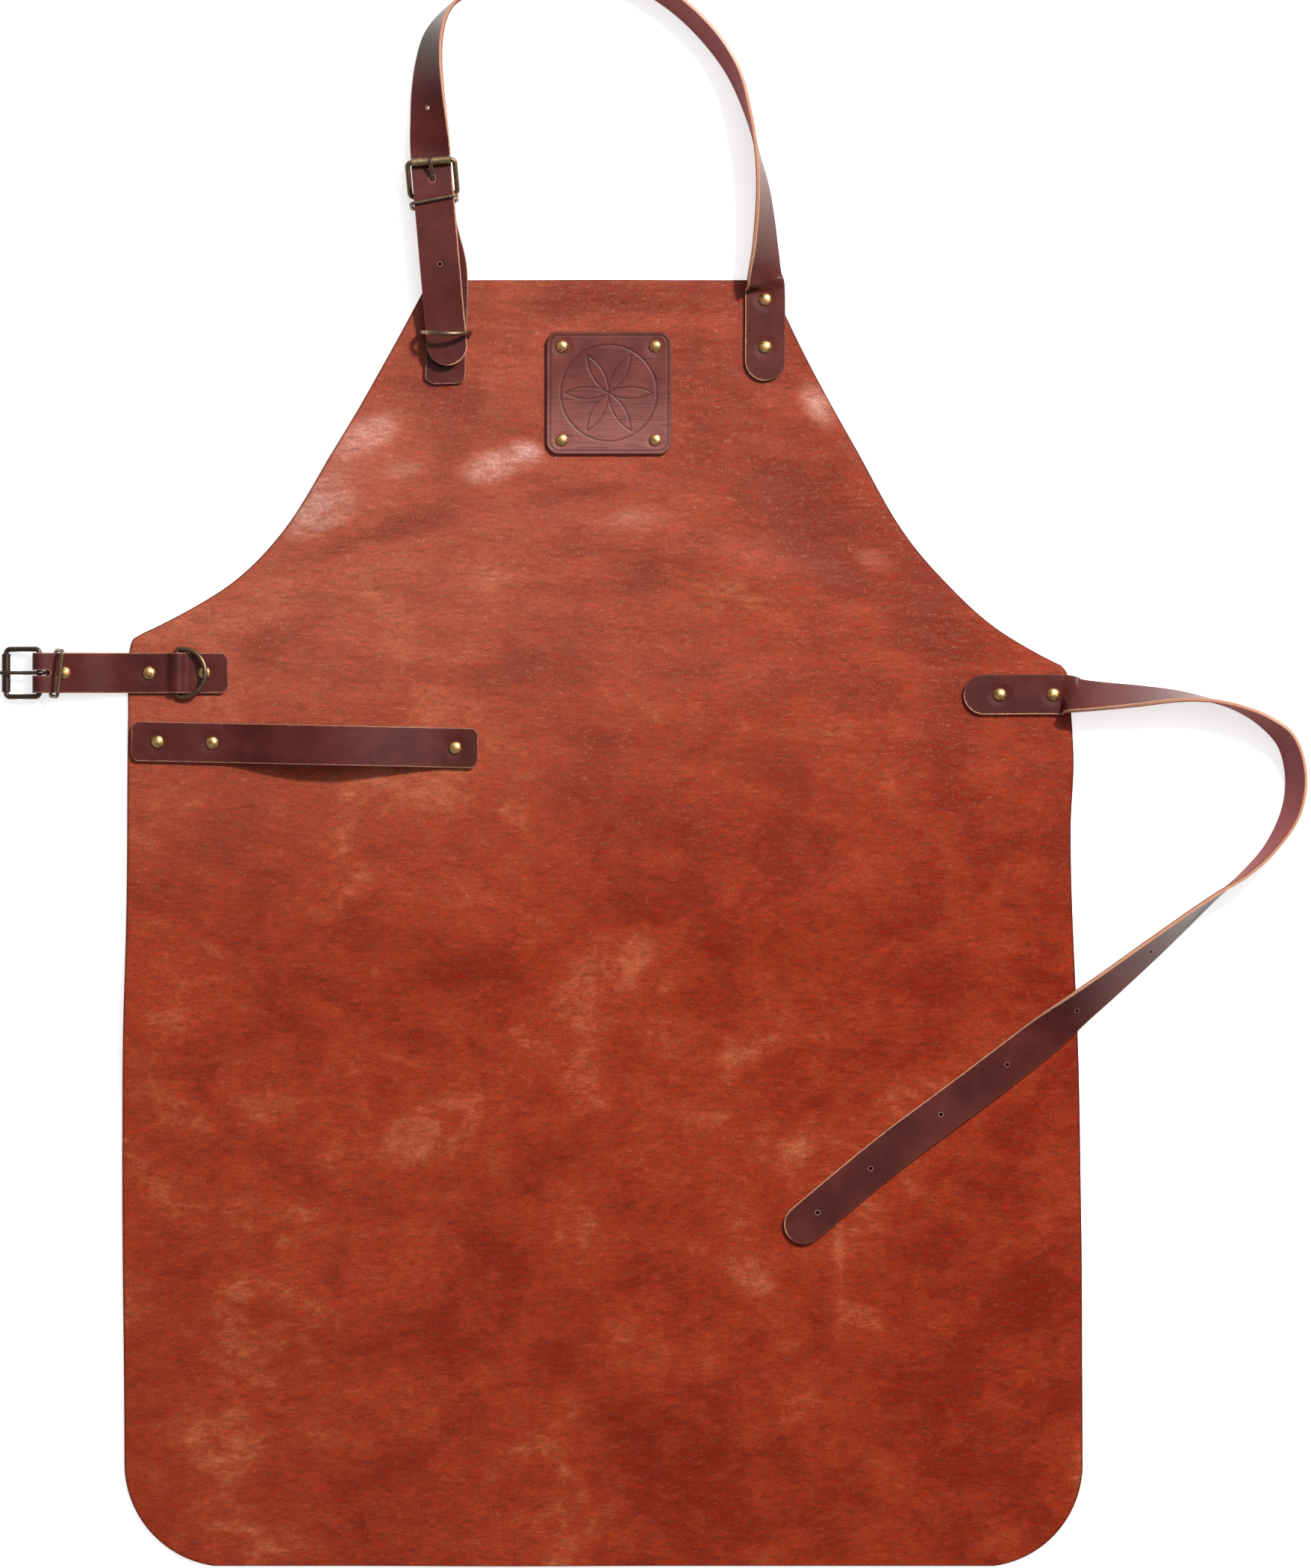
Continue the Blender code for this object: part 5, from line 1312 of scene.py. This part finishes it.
def folded_spine(name, origin, sway):
    """The spine of a strap that is doubled round its buckle's bar."""
    line = fold_line()
    x, z = line[:, 0], line[:, 1]
    heading = sway_heading(x, sway)
    across = np.stack([-np.sin(heading), np.cos(heading), np.zeros_like(x)], axis=1)
    ahead = np.diff(line, axis=0, append=line[-1:] + (line[-1:] - line[-2:-1]))
    behind = np.diff(line, axis=0, prepend=line[:1] - (line[1:2] - line[:1]))
    step = ahead / np.linalg.norm(ahead, axis=1)[:, None]
    step += behind / np.linalg.norm(behind, axis=1)[:, None]
    way = np.stack([across[:, 1] * step[:, 0], -across[:, 0] * step[:, 0], step[:, 1]], axis=1)
    off = np.cross(way, across)
    off /= np.linalg.norm(off, axis=1)[:, None]
    centres = np.stack([x, sway_at(x, sway), z], axis=1)
    turn = np.array(origin.to_3x3())
    centres = centres @ turn.T + np.array(origin.translation)
    steps = np.linalg.norm(np.diff(centres, axis=0), axis=1)
    runs = np.concatenate([[0.0], np.cumsum(steps)])
    spine = strap_spine(name, centres, across @ turn.T, off @ turn.T, runs, runs[-1], CUT_TIP)
    far_end = x > FOLD_SPLIT
    to_tip = np.where(far_end, runs[-1] - runs, np.maximum(runs, 0.0))
    share = tip_share(np.where(far_end, runs, runs[-1] / 2), runs[-1], CUT_TIP)
    spine.data.attributes["to_tip"].data.foreach_set("value", to_tip)
    spine.data.attributes["share"].data.foreach_set("value", share)
    return spine


def slot_outline(length, half, back):
    """A slot's outline from behind the turn of the fold to its round end."""
    stop = length - half
    outline = [(back, half), (back, -half)]
    for k in range(13):
        turn = radians(-90 + 15 * k)
        outline.append((stop + half * cos(turn), half * sin(turn)))
    return outline


def prong_slot(origin):
    """The slot for the prong, as a cutter: short in the under layer, long in the top one."""
    short = slot_outline(SLOT_UNDER, SLOT_WIDTH / 2, -2 * FOLD_RADIUS)
    wider = SLOT_WIDTH / 2 + SLOT_STEP
    long = slot_outline(SLOT_LENGTH, wider, -2 * FOLD_RADIUS - SLOT_STEP)
    between = FOLD_FOOT + STRAP_LEATHER + CLEARANCE / 2
    low, high = BAR_HEIGHT - 3 * FOLD_RADIUS, BAR_HEIGHT + 3 * FOLD_RADIUS
    rings = ((short, low), (short, between), (long, between), (long, high))
    points = [tuple(origin @ Vector((x, y, z))) for outline, z in rings for x, y in outline]
    count = len(short)
    faces = [tuple(reversed(range(count))), tuple(range(3 * count, 4 * count))]
    for ring in range(3):
        for k in range(count):
            here, ahead = ring * count + k, ring * count + (k + 1) % count
            faces.append((here, ahead, ahead + count, here + count))
    return points, faces


for side, origin, sway in (("neck", NECK_SET, NECK_SWAY), ("waist", WAIST_SET, NO_SWAY)):
    spine = folded_spine(f"{side}_fold_spine", origin, sway)
    cutters = strap_bores(f"{side}_fold_bores", None, [], [prong_slot(origin)])
    cut_strap(
        spine, cutters, f"{side}_fold_leather", f"{side}_buckle_strap", square=1.0,
        width=BUCKLE_STRAP_WIDTH,
    )
    bpy.data.objects.remove(cutters)

# The rivets
# Tubular rivets in antique brass. A domed cap is pressed into the grain side of the leather
# and a flat one into its flesh side, with a thin tube between; each sits a little askew.
CAP_TURN = 3.14159
CAP_PROFILE = (
    (0.0, -0.0002), (0.90, -0.0002), (0.985, -0.0004), (1.00, -0.00015), (0.985, 0.0002),
    (0.94, 0.00062), (0.86, 0.00102), (0.75, 0.00140), (0.60, 0.00174), (0.42, 0.00200),
    (0.20, 0.00215), (0.0, 0.00220),
)
BACK_PROFILE = (
    (0.0, 0.0), (0.45, 0.0), (0.50, 0.0001), (0.86, 0.00005), (0.97, 0.0002), (1.0, 0.0005),
    (0.97, 0.00078), (0.0, 0.00080),
)


def turned_piece(name, profile, sides):
    """One turned body as an object."""
    rings = ([], [])
    turned(rings, profile, sides)
    return joined(name, *rings)


def rivet_setting():
    """A tree that sets a back, a tube and a cap on every rivet spot."""
    shape = Shape(
        "set_rivets", Cap="Object", Back="Object", Tube="Object", Askew="Float", Seed="Int",
        Finish="Material",
    )
    spot = shape.geo("InputPosition")
    level = shape.node("ShaderNodeSeparateXYZ", {}, {0: spot}, out="Z")
    foot, cap = shape.read("foot"), shape.read("cap")
    lean = shape.given("Askew")
    limits = [
        shape.node("ShaderNodeCombineXYZ", {}, {0: lean * way, 1: lean * way, 2: CAP_TURN * way})
        for way in (-1.0, 1.0)
    ]
    askew = shape.node(
        "FunctionNodeRandomValue",
        {"data_type": "FLOAT_VECTOR"},
        {0: limits[0], 1: limits[1], "Seed": shape.given("Seed")},
    )
    down = shape.node("ShaderNodeCombineXYZ", {}, {2: foot - level})
    lowered = shape.geo("SetPosition", {}, {"Geometry": shape.given(), "Offset": down})
    parts = []
    for label, points, rotation, size in (
        ("Cap", shape.given(), askew, (cap, cap, 1.0)),
        ("Back", lowered, None, (RIVET_BACK_RADIUS, RIVET_BACK_RADIUS, 1.0)),
        ("Tube", lowered, None, (RIVET_POST_RADIUS, RIVET_POST_RADIUS, level - foot)),
    ):
        model = shape.geo("ObjectInfo", {}, {"Object": shape.given(label)})
        scale = shape.node("ShaderNodeCombineXYZ", {}, dict(enumerate(size)))
        values = {"Points": points, "Instance": model.other("Geometry"), "Scale": scale}
        if rotation is not None:
            values["Rotation"] = rotation
        parts.append(shape.geo("InstanceOnPoints", {}, values))
    both = shape.geo("JoinGeometry", {}, {0: parts[0]})
    for part in parts[1:]:
        shape.tree.links.new(part.socket, both.socket.node.inputs[0])
    shape.ends(both)
    return shape


def antique_brass():
    """Old brass: warm and bright where it was rubbed, browned where it wasn't."""
    finish = Finish("antique_brass", 0.32, metallic=1.0)
    mottle = finish.clouds(finish.place, 520.0, detail=4.0, rough=0.65)
    fine = finish.clouds(finish.place, 2600.0, detail=2.0, rough=0.6)
    tone = finish.mixed(mottle.within(0.32, 0.62), (0.33, 0.175, 0.062), (0.80, 0.475, 0.200))
    tone = finish.mixed(fine.within(0.62, 0.80) * 0.6, tone, (0.20, 0.12, 0.05))
    finish.feed("Base Color", tone)
    finish.feed("Roughness", 0.22 + mottle * 0.22 + fine * 0.08)
    finish.feed("Normal", finish.raised(mottle + fine * 0.4, 0.00012, 0.9))
    return finish.material


rivet_points = joined(
    "rivet_points",
    [(s.x, s.y, s.stack - CAP_SINK) for s in spots],
    [],
    {"foot": np.array([s.foot for s in spots]), "cap": np.array([s.cap for s in spots])},
)
models = [
    turned_piece("rivet_cap", CAP_PROFILE, 32),
    turned_piece("rivet_back", BACK_PROFILE, 28),
    turned_piece("rivet_tube", ((0.0, 0.0002), (1.0, 0.0002), (1.0, 1.0), (0.0, 1.0)), 16),
]
rivet_setting().on(
    rivet_points, Cap=models[0], Back=models[1], Tube=models[2], Askew=0.035, Seed=7,
    Finish=antique_brass(),
)
rivets = made_plain(rivet_points, "rivets", 50.0)
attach(rivets, "apron")
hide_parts(*RIVETS)
for helper in models + [bores, neck_cutters, waist_cutters, rivet_marks]:
    bpy.data.objects.remove(helper)

# The buckles, keepers and D rings
# Bent bronze wire, browned and rubbed bright in patches. A prong hooks round the near bar
# of each frame, a rolled sleeve turns on the far bar, and a wire loop keeps the strap's tail.
FRAME_WIDTH = 0.0330
FRAME_CORNER = 0.0026
PRONG_DROOP = 0.0012
PRONG_TAPER = (
    (1.0, 1.0, 0.55), (0.99, 0.96, 0.80), (0.96, 0.78, 0.93), (0.93, 0.5, 1.0), (0.88, 0.2, 1.0),
    (0.82, 0.0, 1.0), (0.6, 0.0, 1.0), (0.4, 0.0, 1.0),
)
PRONG_NECK = ((2.0, 0.0), (1.70, 0.06), (1.42, 0.22), (1.10, 0.44))
WIRE_STEP = 0.0012
SLEEVE_SEAM = 5.0
SLEEVE_ROUND = 0.00018
KEEPER_HEIGHT = 0.0152
KEEPER_CORNER = 0.0025
KEEPER_ROOM = 2.5 * CLEARANCE
RING_WIDTH = 0.0330
RING_SIDE = 0.0040
RING_CORNER = 0.0018
NECK_RING_TILT = 84.0
WAIST_FRAME_TILT = -degrees(asin((BAR_HEIGHT - ROLLER_RADIUS) / BAR_SPACING))
RING_HALF = (RING_WIDTH - RING_WIRE) / 2
RING_CROSSING = RING_SIDE + sqrt(RING_HALF**2 - (BUCKLE_STRAP_WIDTH / 2 + RING_WIRE / 2) ** 2)
RING_LIE = degrees(asin((STRAP_TOP + CLEARANCE + RING_WIRE / 2 - RING_HEIGHT) / RING_CROSSING))


def wire_bending():
    """A tree that draws round wire along a path; a mark on the path thins it."""
    shape = Shape("bent_wire", Wire="Float", Sides="Int", Finish="Material")
    path = shape.geo("MeshToCurve", {}, {"Mesh": shape.given()})
    path = shape.geo("SetCurveRadius", {}, {"Curve": path, "Radius": shape.read("thick")})
    ring = shape.geo(
        "CurvePrimitiveCircle",
        {"mode": "RADIUS"},
        {"Resolution": shape.given("Sides"), "Radius": shape.given("Wire") * 0.5},
    )
    wire = shape.geo("CurveToMesh", {}, {"Curve": path, "Profile Curve": ring, "Fill Caps": True})
    shape.ends(wire)
    return shape


def quarter(centre, radius, start, steps=7):
    """Points of a quarter circle from its start angle."""
    turns = (radians(start + 90.0 * k / steps) for k in range(steps + 1))
    return [(centre[0] + radius * cos(a), centre[1] + radius * sin(a)) for a in turns]


def round_box(low_x, high_x, half_y, radius):
    """Points of a rectangle with round corners."""
    right, left, top = high_x - radius, low_x + radius, half_y - radius
    corners = ((right, top, 0), (left, top, 90), (left, -top, 180), (right, -top, 270))
    return [point for x, y, start in corners for point in quarter((x, y), radius, start)]


def spaced(points, step, closed):
    """The same path with points in even steps between its own."""
    out = []
    ends = points[1:] + (points[:1] if closed else [])
    for a, b in zip(points, ends):
        a, b = Vector(a), Vector(b)
        count = max(1, round((b - a).length / step))
        out += [a.lerp(b, k / count) for k in range(count)]
    return out + ([] if closed else [Vector(points[-1])])


def aged_bronze(name, dark, bright, rubbed):
    """Browned bronze, with the bright metal showing where hands and leather rub it."""
    finish = Finish(name, 0.36, metallic=1.0)
    cloud = finish.clouds(finish.place, 330.0, detail=4.0, rough=0.65)
    fine = finish.clouds(finish.place, 1900.0, detail=3.0, rough=0.6)
    wear = (cloud * 0.75 + fine * 0.25).within(0.62 - rubbed * 0.3, 0.86 - rubbed * 0.3)
    finish.feed("Base Color", finish.mixed(wear, dark, bright))
    finish.feed("Roughness", 0.38 - wear * 0.12 + fine * 0.06)
    finish.feed("Normal", finish.raised(cloud * 0.6 + fine * 0.4, 0.00004, 0.6))
    return finish.material


bending = wire_bending()
bronze = aged_bronze("aged_bronze", (0.175, 0.110, 0.070), (0.42, 0.285, 0.170), 0.42)
black_bronze = aged_bronze("black_bronze", (0.095, 0.062, 0.046), (0.27, 0.185, 0.13), 0.15)
roller_bronze = aged_bronze("roller_bronze", (0.24, 0.16, 0.085), (0.56, 0.40, 0.22), 0.60)
dark_roller = aged_bronze("dark_roller", (0.070, 0.042, 0.034), (0.20, 0.13, 0.09), 0.15)


def bent(name, points, wire, place, body, finish, closed=True, thick=None, sides=20):
    """Bends one wire piece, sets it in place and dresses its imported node."""
    path = spaced(points, WIRE_STEP, closed) if thick is None else [Vector(p) for p in points]
    path = [place @ point for point in path]
    thick = np.ones(len(path)) if thick is None else np.asarray(thick)
    spine = chained(joined(name + "_spine", path, [], {"thick": thick}), len(path), closed)
    bending.on(spine, Wire=wire, Sides=sides, Finish=finish)
    made = made_plain(spine, name + "_wire", 60.0)
    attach(made, body)
    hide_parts(name)


def prong_path():
    """A prong's centre line and thickness: tapered drooping tip, shank, eye round the bar."""
    eye = FRAME_WIRE / 2 + CLEARANCE + PRONG_WIRE / 2
    rows = [(-run * PRONG_LENGTH, -drop * PRONG_DROOP, thick) for run, drop, thick in PRONG_TAPER]
    rows += [(-run * eye, rise * eye, 1.0) for run, rise in PRONG_NECK]
    for angle in (*range(140, -120, -10), -122):
        turn = radians(angle)
        thick = 1.0 if angle > -120 else 0.9
        rows.append((eye * cos(turn), eye * sin(turn), thick))
    return [(x, 0.0, z) for x, z, _ in rows], [thick for _, _, thick in rows]


def rolled_sleeve(name, place, body, finish):
    """A strip of sheet bronze rolled into a sleeve; its seam is turned down at rest."""
    half = (FRAME_WIDTH - FRAME_WIRE) / 2 - FRAME_CORNER - CLEARANCE
    inner = FRAME_WIRE / 2 + CLEARANCE
    soft, outer = SLEEVE_ROUND, ROLLER_RADIUS
    section = [
        (outer - soft, -half), (outer, -half + soft), (outer, half - soft), (outer - soft, half),
        (inner + soft, half), (inner, half - soft), (inner, -half + soft), (inner + soft, -half),
    ]
    seam = radians(SLEEVE_SEAM)
    turns = np.linspace(seam / 2, tau - seam / 2, 49)
    points = []
    for a in turns:
        for radius, along in section:
            points.append(place @ Vector((radius * sin(a), along, -radius * cos(a))))
    count = len(section)
    faces = []
    for low in range(0, (len(turns) - 1) * count, count):
        for j in range(count):
            after = (j + 1) % count
            faces.append((low + j, low + after, low + count + after, low + count + j))
    last = (len(turns) - 1) * count
    faces += [tuple(reversed(range(count))), tuple(range(last, last + count))]
    made = joined(name + "_sleeve", points, faces)
    bm = bmesh.new()
    bm.from_mesh(made.data)
    bmesh.ops.recalc_face_normals(bm, faces=bm.faces)
    bm.to_mesh(made.data)
    bm.free()
    made.data.materials.append(finish)
    made.data.shade_smooth()
    made.data.set_sharp_from_angle(angle=radians(30))
    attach(made, body)
    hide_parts(name)


def d_ring_path():
    """A D ring's centre line, with its bar on the Y axis."""
    points = []
    for side, start in ((1, 90), (-1, 180)):
        points += quarter((RING_CORNER, side * (RING_HALF - RING_CORNER)), RING_CORNER, start)
    for k in range(31):
        turn = radians(-90 + 6 * k)
        points.append((RING_SIDE + RING_HALF * cos(turn), RING_HALF * sin(turn)))
    return [(x, y, 0.0) for x, y in points]


BuckleSet = namedtuple("BuckleSet", "side origin sway tilt ring foot lean turn metal sleeve bodies")
SETS = (
    BuckleSet(
        "neck", NECK_SET, NECK_SWAY, NECK_FRAME_TILT, NECK_RING_TILT, 0.0054, -8.0, 6.0,
        bronze, roller_bronze, ("apron",) * 5,
    ),
    BuckleSet(
        "waist", WAIST_SET, NO_SWAY, WAIST_FRAME_TILT, RING_LIE, 0.0080, 22.0, -7.0,
        black_bronze, dark_roller,
        (
            "waist_buckle_frame", "waist_buckle_prong", "waist_buckle_roller",
            "waist_strap_keeper", "waist_d_ring",
        ),
    ),
)
for group in SETS:
    hinge = group.origin @ shifted(0.0, 0.0, BAR_HEIGHT) @ about("Y", group.tilt)
    outline = round_box(-BAR_SPACING, 0.0, (FRAME_WIDTH - FRAME_WIRE) / 2, FRAME_CORNER)
    outline = [(x, y, 0.0) for x, y in outline]
    bent(f"{group.side}_frame", outline, FRAME_WIRE, hinge, group.bodies[0], group.metal)
    prong, taper = prong_path()
    raised = hinge @ Matrix.Rotation(PRONG_RISE, 4, "Y")
    bent(
        f"{group.side}_prong", prong, PRONG_WIRE, raised, group.bodies[1], group.metal,
        closed=False, thick=taper,
    )
    far_bar = hinge @ shifted(-BAR_SPACING, 0.0, 0.0)
    rolled_sleeve(f"{group.side}_roller", far_bar, group.bodies[2], group.sleeve)
    half = BUCKLE_STRAP_WIDTH / 2 + KEEPER_ROOM + KEEPER_WIRE / 2
    loop = [(0.0, y, z) for z, y in round_box(0.0, KEEPER_HEIGHT, half, KEEPER_CORNER)]
    seat = group.origin @ shifted(group.foot, 0.0, KEEPER_WIRE / 2)
    seat = seat @ about("Z", group.turn) @ about("Y", group.lean)
    bent(f"{group.side}_keeper", loop, KEEPER_WIRE, seat, group.bodies[3], bronze, sides=16)
    spot = (RING_BAR, float(sway_at(RING_BAR, group.sway)), RING_HEIGHT)
    hang = group.origin @ Matrix.Translation(spot)
    hang = hang @ Matrix.Rotation(float(sway_heading(RING_BAR, group.sway)), 4, "Z")
    hang = hang @ about("Y", -group.ring)
    bent(f"{group.side}_ring", d_ring_path(), RING_WIRE, hang, group.bodies[4], bronze)
